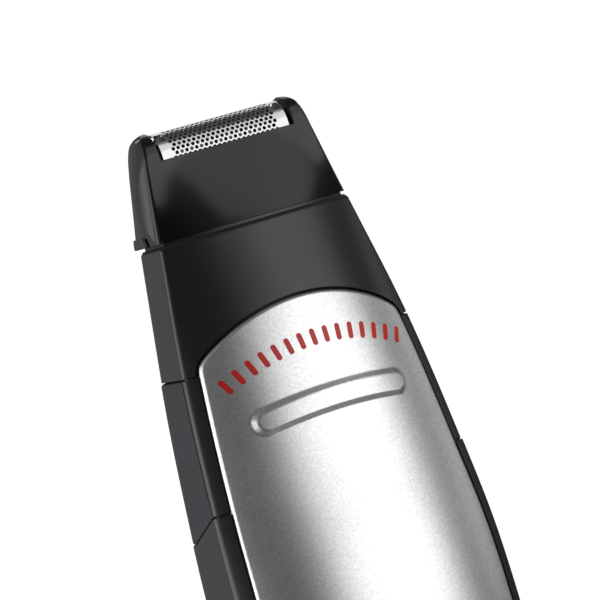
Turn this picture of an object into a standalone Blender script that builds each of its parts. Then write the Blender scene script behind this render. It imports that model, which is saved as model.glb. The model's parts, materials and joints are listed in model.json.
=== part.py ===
"""Body groomer with a foil head, built as a bench assembly of separate solids.

Frame: metres, +Z up along the handle, the front panel faces -Y, +X to the right.
The origin is at the centre of the base, on the surface that the groomer stands on.
"""
import math

import bmesh
import bpy
import numpy as np
from mathutils import Matrix, Vector

MM = 0.001

# cutters: how far one runs past the face it opens, and past the whole part
OVERSHOOT = 1.0 * MM
FAR = 40.0 * MM
# pieces of one solid: how far one sinks into the next before they are joined
SINK = 0.5 * MM

# clearances
FIT_GAP = 0.3 * MM          # between pieces that seat on each other
RUNNING_GAP = 0.1 * MM      # between a round piece and the bore that holds it
SEAM_GAP = 0.45 * MM        # visible gap at a casing seam

# overall heights
HANDLE_HEIGHT = 142.4 * MM  # base to the seam under the head
HEAD_HEIGHT = 16.55 * MM    # seam to the top of the cheeks
UPPER_SEAM_DROP = 19.8 * MM  # head seam down to the seam under the neck
LOWER_SEAM_DROP = 40.0 * MM  # head seam down to the seam under the grips
LOWER_SEAM_FALL = 4.1 * MM   # how far that seam falls from front edge to back
BASE_CAP_HEIGHT = 8.0 * MM

# cross-sections, widest first named by where they are
BELLY_HALF_WIDTH = 21.3 * MM
BELLY_HEIGHT = 70.0 * MM
WAIST_DROP = 53.4 * MM
WALL = 2.6 * MM
LOWER_CASING_PROUD = 0.3 * MM
# each row: height, half width, front edge y, front crown, rear start y, rear depth
SECTIONS = [
    (0.0, 17.2 * MM, -4.9 * MM, 7.2 * MM, 5.0 * MM, 8.0 * MM),
    (40.0 * MM, 20.0 * MM, -6.3 * MM, 9.4 * MM, 6.0 * MM, 10.0 * MM),
    (BELLY_HEIGHT, BELLY_HALF_WIDTH, -7.1 * MM, 10.6 * MM, 6.0 * MM, 11.0 * MM),
    (HANDLE_HEIGHT - WAIST_DROP, 21.1 * MM, -6.7 * MM, 10.5 * MM, 6.0 * MM, 11.0 * MM),
    (HANDLE_HEIGHT - LOWER_SEAM_DROP, 20.3 * MM, -5.4 * MM, 9.2 * MM, 6.0 * MM, 11.0 * MM),
    (HANDLE_HEIGHT - UPPER_SEAM_DROP, 18.4 * MM, -3.4 * MM, 8.0 * MM, 6.0 * MM, 10.5 * MM),
    (HANDLE_HEIGHT, 15.3 * MM, -1.1 * MM, 5.0 * MM, 8.0 * MM, 7.0 * MM),
]

# front panel
PANEL_THICKNESS = 1.2 * MM
PANEL_PROUD = 0.25 * MM
PANEL_BORDER = 2.1 * MM       # black border between panel and front edge
PANEL_TOP_DROP = 12.85 * MM   # head seam down to the top of the arch
PANEL_BOTTOM = 24.0 * MM
PANEL_ARCH_RADIUS = 22.9 * MM
PANEL_CORNER_RADIUS = 2.0 * MM
PANEL_MARGIN = 0.25 * MM
FRONT_SHARE = 0.985           # share of the front face that the panel's slab covers
SLAB_PAST = 3.0 * MM          # slab past the panel's ends before it is trimmed
CUTTER_PROUD = 4.0 * MM       # cutter outside the casing
RIDGE_DROP = 27.4 * MM        # head seam down to the middle of the thumb ridge
RIDGE_HALF_LENGTH = 12.2 * MM
RIDGE_HALF_HEIGHT = 1.9 * MM
RIDGE_SAG = 1.2 * MM
RIDGE_RISE = 0.7 * MM

# grips
GRIP_THICKNESS = 0.9 * MM
GRIP_FIRST = 1.06            # where round the section a side grip starts and ends
GRIP_LAST = 2.75
REAR_GRIP_FIRST = 2.35
REAR_GRIP_MARGIN = 0.3 * MM  # pocket past the rear grip's ends
REAR_GRIP_SPREAD = 0.025     # and past its sides, round the section
GRIP_SIDE_SPAN = 8.0 * MM    # length round the section that one step of a side grip covers
REAR_GRIP_PROUD = 0.3 * MM
REAR_GRIP_BOTTOM = 18.0 * MM
REAR_GRIP_TOP = 88.0 * MM

# power button and charge light
BUTTON_HEIGHT = 62.0 * MM
BUTTON_RADIUS = 4.6 * MM
BUTTON_CAP_THICKNESS = 2.0 * MM
BUTTON_PROUD = 0.4 * MM
BUTTON_TRAVEL = 0.8 * MM
BUTTON_STEM_RADIUS = 2.4 * MM
BUTTON_RING_WIDTH = 1.3 * MM
BUTTON_BOSS_RADIUS = 7.6 * MM
BUTTON_BOSS_LENGTH = 2.6 * MM
BUTTON_BEVEL = 0.5 * MM
MEMBRANE_MARGIN = 0.6 * MM    # boss rim left round the membrane
MEMBRANE_THICKNESS = 0.6 * MM
LENS_HEIGHT = 44.0 * MM
LENS_RADIUS = 1.2 * MM

# control board
BOARD_FRONT_Y = -6.0 * MM
BOARD_THICKNESS = 1.4 * MM
BOARD_HALF_WIDTH = 10.5 * MM
BOARD_BOTTOM = 24.0 * MM
BOARD_TOP = 86.0 * MM
SWITCH_SIDE = 6.0 * MM
SWITCH_DEPTH = 2.3 * MM
PLUNGER_LENGTH = 0.8 * MM
PLUNGER_RADIUS = 1.4 * MM
BOARD_SCREW_X = 8.0 * MM
BOARD_SCREW_HEIGHT = 78.0 * MM
BOARD_SCREW_RADIUS = 0.7 * MM
BOARD_SCREW_HEAD_RADIUS = 1.6 * MM
BOARD_SCREW_HEAD = 0.9 * MM
LED_SIZE = 2.0 * MM
LED_DEPTH = 0.9 * MM
CHIP_SIZE = 5.0 * MM
CHIP_DEPTH = 1.2 * MM
CHIP_HEIGHT = 52.5 * MM

# battery
BATTERY_RADIUS = 7.1 * MM
BATTERY_LENGTH = 50.0 * MM
BATTERY_BOTTOM = 37.0 * MM
BATTERY_Y = 5.6 * MM
TAB_THICKNESS = 0.5 * MM
TAB_HALF_WIDTH = 5.0 * MM
CELL_CAP_RADIUS = 2.8 * MM
CELL_CAP_HEIGHT = 0.8 * MM
CELL_BEVEL = 0.6 * MM

# chassis
CHASSIS_THICKNESS = 1.5 * MM
CHASSIS_HALF_WIDTH = 13.0 * MM
CHASSIS_BOTTOM = 14.0 * MM
CHASSIS_WALL = 2.0 * MM
CHASSIS_WALL_HALF_WIDTH = 7.0 * MM
CRADLE_WALL = 1.05 * MM
CRADLE_HEIGHT = 9.0 * MM
CRADLE_LIFT = 1.0 * MM        # cradle above the can's open end
LEAD_WINDOW_HALF_WIDTH = 6.0 * MM
CHASSIS_WALL_REACH = 0.6      # share of the battery's radius that the end walls pass its axis
CRADLE_LIP = 0.4 * MM         # chassis plate above the cradle
CHASSIS_FOOT = 6.0 * MM       # height of the feet that take the base screws
CHASSIS_RIB_HALF_WIDTH = 1.1 * MM

# motor and drive
MOTOR_RADIUS = 7.8 * MM
MOTOR_LENGTH = 25.0 * MM
MOTOR_TOP_DROP = 24.4 * MM    # head seam down to the top of the motor can
CRADLE_GAP = 0.45 * MM        # between the motor cradle and the casing behind it
MAGNET_LIFT = 3.0 * MM        # magnets above the can's open end
MAGNET_SPREAD = 1.1           # half of each magnet's arc, in radians
SHAFT_END_GAP = 0.6 * MM      # shaft above the end bell's outer face
SHAFT_SEAT = 1.1 * MM         # hub left above the shaft's bore
PIN_SEAT = 0.8 * MM           # depth of the pin's bore in the hub
LEAD_DROP = 1.7 * MM          # motor's end bell down to the leads' turn
CAN_WALL = 0.8 * MM
BELL_HEIGHT = 2.6 * MM
MAGNET_THICKNESS = 1.2 * MM
ARMATURE_RADIUS = 5.0 * MM
ARMATURE_LENGTH = 15.0 * MM
SHAFT_RADIUS = 1.0 * MM
HUB_RADIUS = 2.4 * MM
HUB_HEIGHT = 3.7 * MM
PIN_RADIUS = 0.7 * MM
PIN_REACH = 2.3 * MM          # pin above the hub
DRIVE_THROW = 0.6 * MM
DECK_THICKNESS = 2.6 * MM
DECK_HOLE_RADIUS = 4.2 * MM
SPIGOT_RADIUS = 6.0 * MM
SPIGOT_WALL = 1.4 * MM
SPIGOT_HEIGHT = 2.2 * MM
SEAL_HEIGHT = 1.8 * MM
LEAD_RADIUS = 0.45 * MM
LEAD_X = 3.0 * MM
LEAD_START_Y = 3.0 * MM       # motor axis to the leads' ends, and to their first turn
LEAD_TURN_Y = 5.0 * MM
LEAD_BEND = 2.4 * MM

# charging inlet and base
INLET_Y = 1.0 * MM
INLET_HALF_WIDTH = 5.0 * MM
INLET_HALF_DEPTH = 3.2 * MM
INLET_RECESS = 8.5 * MM
INLET_WALL = 1.5 * MM
INLET_HEIGHT = 12.0 * MM
INLET_LIFT = 0.3 * MM
INLET_PIN_RADIUS = 0.7 * MM
INLET_PIN_LENGTH = 4.0 * MM
INLET_PIN_X = 2.5 * MM
BASE_FLOOR = 2.4 * MM
BASE_SCREW_X = 10.4 * MM
BASE_SCREW_RADIUS = 1.0 * MM
BASE_SCREW_HEAD_RADIUS = 2.3 * MM
BASE_SCREW_HEAD = 1.6 * MM
BASE_SCREW_SINK = 1.0 * MM
BASE_SCREW_TOP = 15.0 * MM
BASE_BOSS_WALL = 1.0 * MM
BASE_BOSS_LIFT = 1.6 * MM     # boss above the screw's head
CHASSIS_BOSS_RADIUS = 2.6 * MM

# gaskets
GASKET_THICKNESS = 1.2 * MM
GASKET_HALF_HEIGHT = 1.8 * MM

# head
HEAD_HALF_WIDTH = 15.4 * MM   # at the seam
HEAD_TAPER = 0.169            # how fast each side leans in
CHEEK_BULGE = 1.0 * MM
CHEEK_THICKNESS = 1.6 * MM
CHEEK_CORNER_RADIUS = 2.2 * MM
CHEEK_TOP_RADIUS = 4.45 * MM
HEAD_HALF_DEPTH = 5.5 * MM    # at the seam, at the side edges
COVER_CROWN = 4.8 * MM
COVER_THICKNESS = 1.2 * MM
COVER_LIP = 0.45 * MM         # cover thickness at the foil
COVER_TOP_DROP = 4.6 * MM     # cheek top down to the cover's upper edge
COVER_CROWN_POWER = 1.15      # how the crown fades toward the foil
COVER_CROWN_LEFT = 0.2 * MM   # crown that is left at the foil
DEPTH_POWER = 0.8             # how the head's depth falls off toward the top
CHEEK_EDGE = 0.05 * MM        # thinnest edge of a cheek
HEAD_BASE_THICKNESS = 1.8 * MM
GUIDE_POST_X = 5.6 * MM
GUIDE_POST_RADIUS = 1.2 * MM
GUIDE_POST_SPREAD = 1.4 * MM
SPIGOT_SOCKET_HEIGHT = 0.9 * MM   # base's socket past its upper face
FOIL_HALF_LENGTH = 10.25 * MM
FOIL_RADIUS = 3.95 * MM
FOIL_THICKNESS = 0.2 * MM
FOIL_SKIRT = 3.0 * MM
FOIL_TOP_DROP = 0.4 * MM      # cheek top down to the foil crest
FRAME_HEIGHT = 2.3 * MM
FRAME_RAIL = 1.3 * MM
FRAME_LEDGE = 0.5 * MM        # frame past the foil's skirts
FORK_THICKNESS = 1.4 * MM
FORK_HALF_LENGTH = 7.5 * MM
FORK_HALF_DEPTH = 2.9 * MM
BLOCK_HALF_LENGTH = 8.8 * MM
BLOCK_HALF_DEPTH = 2.3 * MM
BLOCK_HEIGHT = 1.8 * MM
BLADE_COUNT = 12
BLADE_THICKNESS = 0.35 * MM
BLADE_SPINE_RADIUS = 2.1 * MM
BLADE_FOOT = 1.3 * MM         # foil's axis down to the blades' foot
SPRING_X = 5.5 * MM
SPRING_RADIUS = 1.1 * MM
SPRING_WIRE = 0.18 * MM
SPRING_TURNS = 3

# places that follow from the sizes above
REAR_DEPTH = SECTIONS[4][4] + SECTIONS[4][5]   # middle plane to the back, at the seam under the grips
DRIVE_Y = REAR_DEPTH - WALL - CRADLE_GAP - CRADLE_WALL - FIT_GAP - MOTOR_RADIUS
UPPER_SEAM = HANDLE_HEIGHT - UPPER_SEAM_DROP
LOWER_SEAM = HANDLE_HEIGHT - LOWER_SEAM_DROP
NECK_TOP = HANDLE_HEIGHT - SEAM_GAP / 2
HEAD_BOTTOM = HANDLE_HEIGHT + SEAM_GAP / 2
HEAD_TOP = HANDLE_HEIGHT + HEAD_HEIGHT
CHEEK_ARC_Z = HEAD_TOP - CHEEK_TOP_RADIUS
COVER_TOP = HEAD_TOP - COVER_TOP_DROP
DECK_BOTTOM = NECK_TOP - DECK_THICKNESS
POCKET_DEPTH = PANEL_THICKNESS + FIT_GAP
GRIP_POCKET = GRIP_THICKNESS + FIT_GAP
MOTOR_TOP = HANDLE_HEIGHT - MOTOR_TOP_DROP
CAN_BOTTOM = MOTOR_TOP - MOTOR_LENGTH + BELL_HEIGHT + FIT_GAP
BELL_BOTTOM = MOTOR_TOP - MOTOR_LENGTH
HUB_BOTTOM = NECK_TOP + SEAM_GAP
HUB_TOP = HUB_BOTTOM + HUB_HEIGHT
PIN_TOP = HUB_TOP + PIN_REACH
FOIL_AXIS_Z = HEAD_TOP - FOIL_TOP_DROP - FOIL_RADIUS
FOIL_BOTTOM = FOIL_AXIS_Z - FOIL_SKIRT
FRAME_TOP = FOIL_BOTTOM - FIT_GAP
FORK_BOTTOM = HUB_TOP + 2 * FIT_GAP
FORK_TOP = FORK_BOTTOM + FORK_THICKNESS
BLADE_RADIUS = FOIL_RADIUS - FOIL_THICKNESS - FIT_GAP
BLADE_BOTTOM = FOIL_AXIS_Z - BLADE_FOOT
BLOCK_TOP = BLADE_BOTTOM - FIT_GAP
BLOCK_BOTTOM = BLOCK_TOP - BLOCK_HEIGHT
BOARD_BACK_Y = BOARD_FRONT_Y + BOARD_THICKNESS
CHASSIS_FRONT_Y = BOARD_BACK_Y + FIT_GAP
CHASSIS_BACK_Y = CHASSIS_FRONT_Y + CHASSIS_THICKNESS
BATTERY_TOP = BATTERY_BOTTOM + BATTERY_LENGTH
TAB_GAP = TAB_THICKNESS + 2 * FIT_GAP
CRADLE_BOTTOM = CAN_BOTTOM + CRADLE_LIFT
CRADLE_INNER = MOTOR_RADIUS + FIT_GAP
CHASSIS_TOP = CRADLE_BOTTOM + CRADLE_HEIGHT
PLUNGER_FRONT_Y = BOARD_FRONT_Y - FIT_GAP - SWITCH_DEPTH - PLUNGER_LENGTH


# ---- small tools -------------------------------------------------------------

def clear_scene():
    for thing in list(bpy.data.objects):
        bpy.data.objects.remove(thing, do_unlink=True)


def material(name, colour, roughness, metallic=0.0):
    made = bpy.data.materials.new(name)
    made.use_nodes = True
    shader = made.node_tree.nodes["Principled BSDF"]
    shader.inputs["Base Color"].default_value = (*colour, 1.0)
    shader.inputs["Roughness"].default_value = roughness
    shader.inputs["Metallic"].default_value = metallic
    made.diffuse_color = (*colour, 1.0)
    return made


def add_object(name, shape, outward=True):
    """Turn a bmesh into an object, with its faces pointing out."""
    if outward:
        bmesh.ops.recalc_face_normals(shape, faces=shape.faces)
    mesh = bpy.data.meshes.new(name)
    shape.to_mesh(mesh)
    shape.free()
    made = bpy.data.objects.new(name, mesh)
    bpy.context.scene.collection.objects.link(made)
    return made


def finish(thing, name, colour, roughness, metallic=0.0):
    """Name a finished piece, give it its material and smooth its round faces."""
    thing.name = name
    thing.data.name = name
    thing.data.materials.clear()
    thing.data.materials.append(material(name, colour, roughness, metallic))
    thing.data.shade_smooth()
    thing.data.set_sharp_from_angle(angle=math.radians(35))
    return thing


def combine(thing, other, operation):
    """Cut, join or intersect two solids and keep the result as the first one's mesh."""
    change = thing.modifiers.new("combine", "BOOLEAN")
    change.operation = operation
    change.solver = "EXACT"
    change.object = other
    bpy.context.view_layer.update()
    view = bpy.context.evaluated_depsgraph_get()
    result = bpy.data.meshes.new_from_object(thing.evaluated_get(view))
    thing.modifiers.remove(change)
    thing.data = result
    bpy.data.objects.remove(other, do_unlink=True)
    tidy = bmesh.new()
    tidy.from_mesh(result)
    bmesh.ops.remove_doubles(tidy, verts=tidy.verts, dist=0.002 * MM)
    bmesh.ops.dissolve_degenerate(tidy, edges=tidy.edges, dist=0.002 * MM)
    tidy.to_mesh(result)
    tidy.free()
    return thing


def cut(thing, other):
    return combine(thing, other, "DIFFERENCE")


def join(thing, other):
    return combine(thing, other, "UNION")


def common(thing, other):
    return combine(thing, other, "INTERSECT")


def box(low, high, name="box"):
    shape = bmesh.new()
    bmesh.ops.create_cube(shape, size=1.0)
    size = Vector(high) - Vector(low)
    middle = (Vector(high) + Vector(low)) / 2
    bmesh.ops.scale(shape, vec=size, verts=shape.verts)
    bmesh.ops.translate(shape, vec=middle, verts=shape.verts)
    return add_object(name, shape)


def cylinder(centre, radius, low, high, along="z", sides=24, name="cylinder"):
    """A round bar about an axis through centre, from low to high along z or y."""
    shape = bmesh.new()
    bmesh.ops.create_cone(shape, cap_ends=True, segments=sides, radius1=radius, radius2=radius,
                          depth=high - low)
    if along == "y":
        bmesh.ops.rotate(shape, matrix=Matrix.Rotation(math.radians(90), 3, "X"), verts=shape.verts)
        place = Vector((centre[0], (low + high) / 2, centre[1]))
    else:
        place = Vector((centre[0], centre[1], (low + high) / 2))
    bmesh.ops.translate(shape, vec=place, verts=shape.verts)
    return add_object(name, shape)


def turned(profile, centre, along="z", sides=24, name="turned"):
    """Spin a closed outline of (radius, height) points; a radius of 0 closes it on the axis."""
    shape = bmesh.new()
    rings = []
    for radius, height in profile:
        if radius == 0:
            rings.append([shape.verts.new((0, 0, height))])
            continue
        turn = [2 * math.pi * k / sides for k in range(sides)]
        rings.append([shape.verts.new((radius * math.cos(a), radius * math.sin(a), height)) for a in turn])
    closed = profile[0][0] != 0
    pairs = list(zip(rings, rings[1:])) + ([(rings[-1], rings[0])] if closed else [])
    for first, second in pairs:
        for k in range(sides):
            n = (k + 1) % sides
            corners = [first[k % len(first)], first[n % len(first)]]
            corners += [second[n % len(second)], second[k % len(second)]]
            corners = list(dict.fromkeys(corners))
            if len(corners) > 2:
                shape.faces.new(corners)
    if along == "y":
        bmesh.ops.rotate(shape, matrix=Matrix.Rotation(math.radians(90), 3, "X"), verts=shape.verts)
        place = Vector((centre[0], 0, centre[1]))
    else:
        place = Vector((centre[0], centre[1], 0))
    bmesh.ops.translate(shape, vec=place, verts=shape.verts)
    return add_object(name, shape)


def ring(centre, inner, outer, low, high, along="z", sides=24, name="ring"):
    profile = [(outer, low), (outer, high), (inner, high), (inner, low)]
    if along == "y":
        profile = [(radius, -height) for radius, height in profile]
    return turned(profile, centre, along, sides, name)


def sandwich(outer, inner, closed, name="sandwich"):
    """Close the space between two grids of points; closed grids wrap round in their first index."""
    shape = bmesh.new()
    skin = [[shape.verts.new(point) for point in row] for row in outer]
    lining = [[shape.verts.new(point) for point in row] for row in inner]
    rows = len(skin)
    last = len(skin[0]) - 1
    steps = range(rows if closed else rows - 1)
    for i in steps:
        n = (i + 1) % rows
        for j in range(last):
            shape.faces.new((skin[i][j], skin[n][j], skin[n][j + 1], skin[i][j + 1]))
            shape.faces.new((lining[i][j], lining[i][j + 1], lining[n][j + 1], lining[n][j]))
        for j in (0, last):
            shape.faces.new((skin[i][j], lining[i][j], lining[n][j], skin[n][j]))
    if not closed:
        for i in (0, rows - 1):
            for j in range(last):
                shape.faces.new((skin[i][j], skin[i][j + 1], lining[i][j + 1], lining[i][j]))
    return add_object(name, shape)


def loft(rings, name="loft"):
    """Skin a stack of closed rings of points and cap both ends."""
    shape = bmesh.new()
    made = [[shape.verts.new(point) for point in row] for row in rings]
    count = len(made[0])
    for first, second in zip(made, made[1:]):
        for k in range(count):
            n = (k + 1) % count
            shape.faces.new((first[k], first[n], second[n], second[k]))
    shape.faces.new(made[0])
    shape.faces.new(made[-1])
    return add_object(name, shape)


def prism(outline_xz, low_y, high_y, name="prism"):
    """A flat outline in x and z, carried from low_y to high_y."""
    return loft([[(x, y, z) for x, z in outline_xz] for y in (low_y, high_y)], name)


def slab_z(outline_xy, low, high, name="slab"):
    """A flat outline in x and y, carried from low to high."""
    return loft([[(x, y, z) for x, y in outline_xy] for z in (low, high)], name)


def tube(points, radius, name):
    """A lead of even thickness through points, smoothed by a spline."""
    curve = bpy.data.curves.new(name, "CURVE")
    curve.dimensions = "3D"
    curve.bevel_depth = radius
    curve.bevel_resolution = 1
    curve.use_fill_caps = True
    line = curve.splines.new("POLY")
    smooth = smooth_path(points, 4)
    line.points.add(len(smooth) - 1)
    for place, point in zip(line.points, smooth):
        place.co = (*point, 1.0)
    made = bpy.data.objects.new(name, curve)
    bpy.context.scene.collection.objects.link(made)
    bpy.context.view_layer.update()
    view = bpy.context.evaluated_depsgraph_get()
    mesh = bpy.data.meshes.new_from_object(made.evaluated_get(view))
    bpy.data.objects.remove(made, do_unlink=True)
    shape = bmesh.new()
    shape.from_mesh(mesh)
    bmesh.ops.remove_doubles(shape, verts=shape.verts, dist=0.001 * MM)
    return add_object(name, shape)


def smooth_path(points, steps):
    """Points along a Catmull-Rom spline through the given points."""
    padded = [points[0]] + list(points) + [points[-1]]
    path = []
    for a, b, c, d in zip(padded, padded[1:], padded[2:], padded[3:]):
        for k in range(steps):
            u = k / steps
            spot = [0.5 * (2 * q + (r - p) * u + (2 * p - 5 * q + 4 * r - s) * u * u
                    + (3 * q - p - 3 * r + s) * u ** 3) for p, q, r, s in zip(a, b, c, d)]
            path.append(spot)
    path.append(list(points[-1]))
    return path


# ---- the handle's outer form ---------------------------------------------------

def section(z):
    """The section's five sizes at height z, on a smooth curve through SECTIONS."""
    heights = [row[0] for row in SECTIONS]
    z = min(max(z, heights[0]), heights[-1])
    k = min(max(int(np.searchsorted(heights, z, side="right")) - 1, 0), len(heights) - 2)
    span = heights[k + 1] - heights[k]
    u = (z - heights[k]) / span
    sizes = []
    for column in range(1, 6):
        values = [row[column] for row in SECTIONS]
        slopes = [(values[i + 1] - values[i]) / (heights[i + 1] - heights[i])
                  for i in range(len(values) - 1)]
        ends = [slopes[0]] + [(a + b) / 2 if a * b > 0 else 0.0
                              for a, b in zip(slopes, slopes[1:])] + [slopes[-1]]
        a, b = values[k], values[k + 1]
        low, high = ends[k] * span, ends[k + 1] * span
        sizes.append((2 * u ** 3 - 3 * u ** 2 + 1) * a + (u ** 3 - 2 * u ** 2 + u) * low
                     + (3 * u ** 2 - 2 * u ** 3) * b + (u ** 3 - u ** 2) * high)
    return sizes


def outline(t, z):
    """A point of the handle's section: t -1..1 front arc, 1..2 right, 2..4 rear, 4..5 left."""
    half, edge_y, crown, rear_y, depth = section(z)
    t = (t + 1) % 6 - 1
    if t <= 1:
        radius = (half ** 2 + crown ** 2) / (2 * crown)
        x = t * half
        return Vector((x, edge_y - (math.sqrt(radius ** 2 - x ** 2) - (radius - crown))))
    if t <= 2:
        return Vector((half, edge_y + (t - 1) * (rear_y - edge_y)))
    if t <= 4:
        angle = (t - 2) * math.pi / 2
        return Vector((half * math.cos(angle), rear_y + depth * math.sin(angle)))
    return Vector((-half, rear_y + (t - 4) * (edge_y - rear_y)))


def skin_point(t, z, inset):
    """The outline's point moved inwards by inset, with mitred corners."""
    step = 1e-4
    here = outline(t, z)
    before = (here - outline(t - step, z)).normalized()
    after = (outline(t + step, z) - here).normalized()
    first = Vector((-before.y, before.x))
    second = Vector((-after.y, after.x))
    moved = here + inset * (first + second) / (1 + first.dot(second))
    return (moved.x, moved.y, z)


def front_y(x, z):
    """Where the front surface is at x and z."""
    return outline(x / section(z)[0], z).y


FRONT_STEPS = 8
REAR_STEPS = 12


def around():
    """Even stations all the way round the section, each corner included."""
    front = [-1 + 2 * k / FRONT_STEPS for k in range(FRONT_STEPS)]
    right = [1, 1.5]
    rear = [2 + 2 * k / REAR_STEPS for k in range(REAR_STEPS)]
    left = [4, 4.5]
    return front + right + rear + left


def spread(low, high, count):
    return [low + (high - low) * k / count for k in range(count + 1)]


def casing_tube(low_at, high_at, inset_out, inset_in, rows):
    """A casing open at both ends, whose end heights may vary round the section."""
    stations = around()
    grids = []
    for inset in (inset_out, inset_in):
        grids.append([[skin_point(t, z, inset) for z in spread(low_at(t), high_at(t), rows)]
                      for t in stations])
    return sandwich(grids[0], grids[1], True)


def casing_solid(low, high, inset, rows):
    stations = around()
    return loft([[skin_point(t, z, inset) for t in stations] for z in spread(low, high, rows)])


def skin_patch(first, last, low_at, high_at, inset_out, inset_in, columns, rows):
    """A curved slab that follows the handle's surface over part of the way round."""
    grids = []
    for inset in (inset_out, inset_in):
        grids.append([[skin_point(t, z, inset) for z in spread(low_at(t), high_at(t), rows)]
                      for t in spread(first, last, columns)])
    return sandwich(grids[0], grids[1], False)


def lower_seam(t):
    """Height of the seam under the grips: level in front, falling along the sides."""
    t = (t + 1) % 6 - 1
    if t <= 1:
        return LOWER_SEAM
    share = min(t - 1, 5 - t, 1.0)
    return LOWER_SEAM - LOWER_SEAM_FALL * share


def level(z):
    return lambda t: z


# ---- front panel -----------------------------------------------------------------

def panel_half_width(z):
    return section(z)[0] - PANEL_BORDER


def arch_drop(x):
    """How far the panel's arched end falls away from its middle."""
    return PANEL_ARCH_RADIUS - math.sqrt(PANEL_ARCH_RADIUS ** 2 - x ** 2)


def rounded_corner(corner, first, last, radius, steps=4):
    """Points that round a corner between the directions to first and last."""
    a = (Vector(first) - Vector(corner)).normalized()
    b = (Vector(last) - Vector(corner)).normalized()
    half_angle = a.angle(b) / 2
    reach = radius / math.tan(half_angle)
    middle = Vector(corner) + (a + b).normalized() * radius / math.sin(half_angle)
    start = Vector(corner) + a * reach - middle
    stop = Vector(corner) + b * reach - middle
    sweep = start.angle_signed(stop)
    points = []
    for k in range(steps + 1):
        turn = -sweep * k / steps
        spot = Matrix.Rotation(turn, 2) @ start
        points.append(tuple(middle + spot))
    return points


def panel_outline(grow):
    """The panel's shape in x and z: arched top and bottom, sides along the front edges."""
    top = HANDLE_HEIGHT - PANEL_TOP_DROP
    right = []
    shoulder = 0.78   # share of the arch that is drawn before the corner's rounding
    side_top = top - arch_drop(panel_half_width(top - PANEL_TOP_DROP / 2))
    side_low = PANEL_BOTTOM + arch_drop(panel_half_width(PANEL_BOTTOM))
    reach = panel_half_width(side_low)
    for k in range(6):
        x = reach * shoulder * k / 5
        right.append((x, PANEL_BOTTOM + arch_drop(x) - grow))
    heights = spread(side_low, side_top, 9)
    corner = (panel_half_width(side_low) + grow, side_low - grow)
    right += rounded_corner(corner, right[-1], (corner[0], heights[1]),
                            PANEL_CORNER_RADIUS + grow)
    right += [(panel_half_width(z) + grow, z) for z in heights[1:-1]]
    reach = panel_half_width(side_top)
    corner = (reach + grow, side_top + grow)
    inner = (reach * shoulder, top - arch_drop(reach * shoulder) + grow)
    below = (panel_half_width(heights[-2]) + grow, heights[-2])
    right += rounded_corner(corner, below, inner, PANEL_CORNER_RADIUS + grow)
    for k in range(5, -1, -1):
        x = reach * shoulder * k / 5
        right.append((x, top - arch_drop(x) + grow))
    left = [(-x, z) for x, z in reversed(right) if x > 1e-6]
    return right + left


def panel_block(inset_out, inset_in, grow):
    slab = skin_patch(-FRONT_SHARE, FRONT_SHARE, level(PANEL_BOTTOM - SLAB_PAST),
                      level(HANDLE_HEIGHT - PANEL_TOP_DROP + SLAB_PAST), inset_out, inset_in, FRONT_STEPS, 9)
    return common(slab, prism(panel_outline(grow), -FAR, 0))


def ridge_outline():
    """The thumb ridge in x and z: an arched bar with rounded ends."""
    middle = HANDLE_HEIGHT - RIDGE_DROP

    def height(x, side):
        return middle - RIDGE_SAG * (x / RIDGE_HALF_LENGTH) ** 2 + side * RIDGE_HALF_HEIGHT

    straight = RIDGE_HALF_LENGTH - RIDGE_HALF_HEIGHT
    lower = [(x, height(x, -1)) for x in spread(-straight, straight, 10)]
    upper = [(x, height(x, 1)) for x in spread(straight, -straight, 10)]
    end_z = height(straight, 0)
    right = [(straight + RIDGE_HALF_HEIGHT * math.cos(a), end_z + RIDGE_HALF_HEIGHT * math.sin(a))
             for a in spread(-math.pi / 2, math.pi / 2, 6)[1:-1]]
    left = [(-x, z) for x, z in reversed(right)]
    return lower + right + upper + left


def front_panel():
    panel = panel_block(-PANEL_PROUD, PANEL_THICKNESS, 0.0)
    middle = HANDLE_HEIGHT - RIDGE_DROP
    reach = 2 * SLAB_PAST
    bar = skin_patch(-FRONT_SHARE, FRONT_SHARE, level(middle - reach), level(middle + reach),
                     -PANEL_PROUD - RIDGE_RISE, PANEL_THICKNESS / 2, 10, 2)
    join(panel, common(bar, prism(ridge_outline(), -FAR, 0)))
    hole = BUTTON_RADIUS + FIT_GAP + BUTTON_RING_WIDTH + FIT_GAP
    cut(panel, cylinder((0, BUTTON_HEIGHT), hole, -FAR, 0, "y", 32))
    cut(panel, cylinder((0, LENS_HEIGHT), LENS_RADIUS + FIT_GAP, -FAR, 0, "y", 16))
    return finish(panel, "front_panel", (0.62, 0.63, 0.64), 0.32, 0.85)


def cut_panel_pocket(thing):
    return cut(thing, panel_block(-CUTTER_PROUD, POCKET_DEPTH, PANEL_MARGIN))


# ---- casings and grips -------------------------------------------------------------

def neck_collar():
    low = UPPER_SEAM + SEAM_GAP / 2
    neck = casing_solid(low, NECK_TOP, 0.0, 5)
    cut(neck, casing_solid(low - OVERSHOOT, DECK_BOTTOM, WALL, 5))
    centre = (0, DRIVE_Y)
    join(neck, cylinder(centre, SPIGOT_RADIUS, NECK_TOP - DECK_THICKNESS / 2, NECK_TOP + SPIGOT_HEIGHT,
                        sides=32))
    cut(neck, cylinder(centre, SPIGOT_RADIUS - SPIGOT_WALL, NECK_TOP, HEAD_TOP, sides=32))
    cut(neck, cylinder(centre, DECK_HOLE_RADIUS, DECK_BOTTOM - OVERSHOOT, NECK_TOP + OVERSHOOT))
    cut_panel_pocket(neck)
    return finish(neck, "neck_collar", (0.02, 0.02, 0.022), 0.38)


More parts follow.
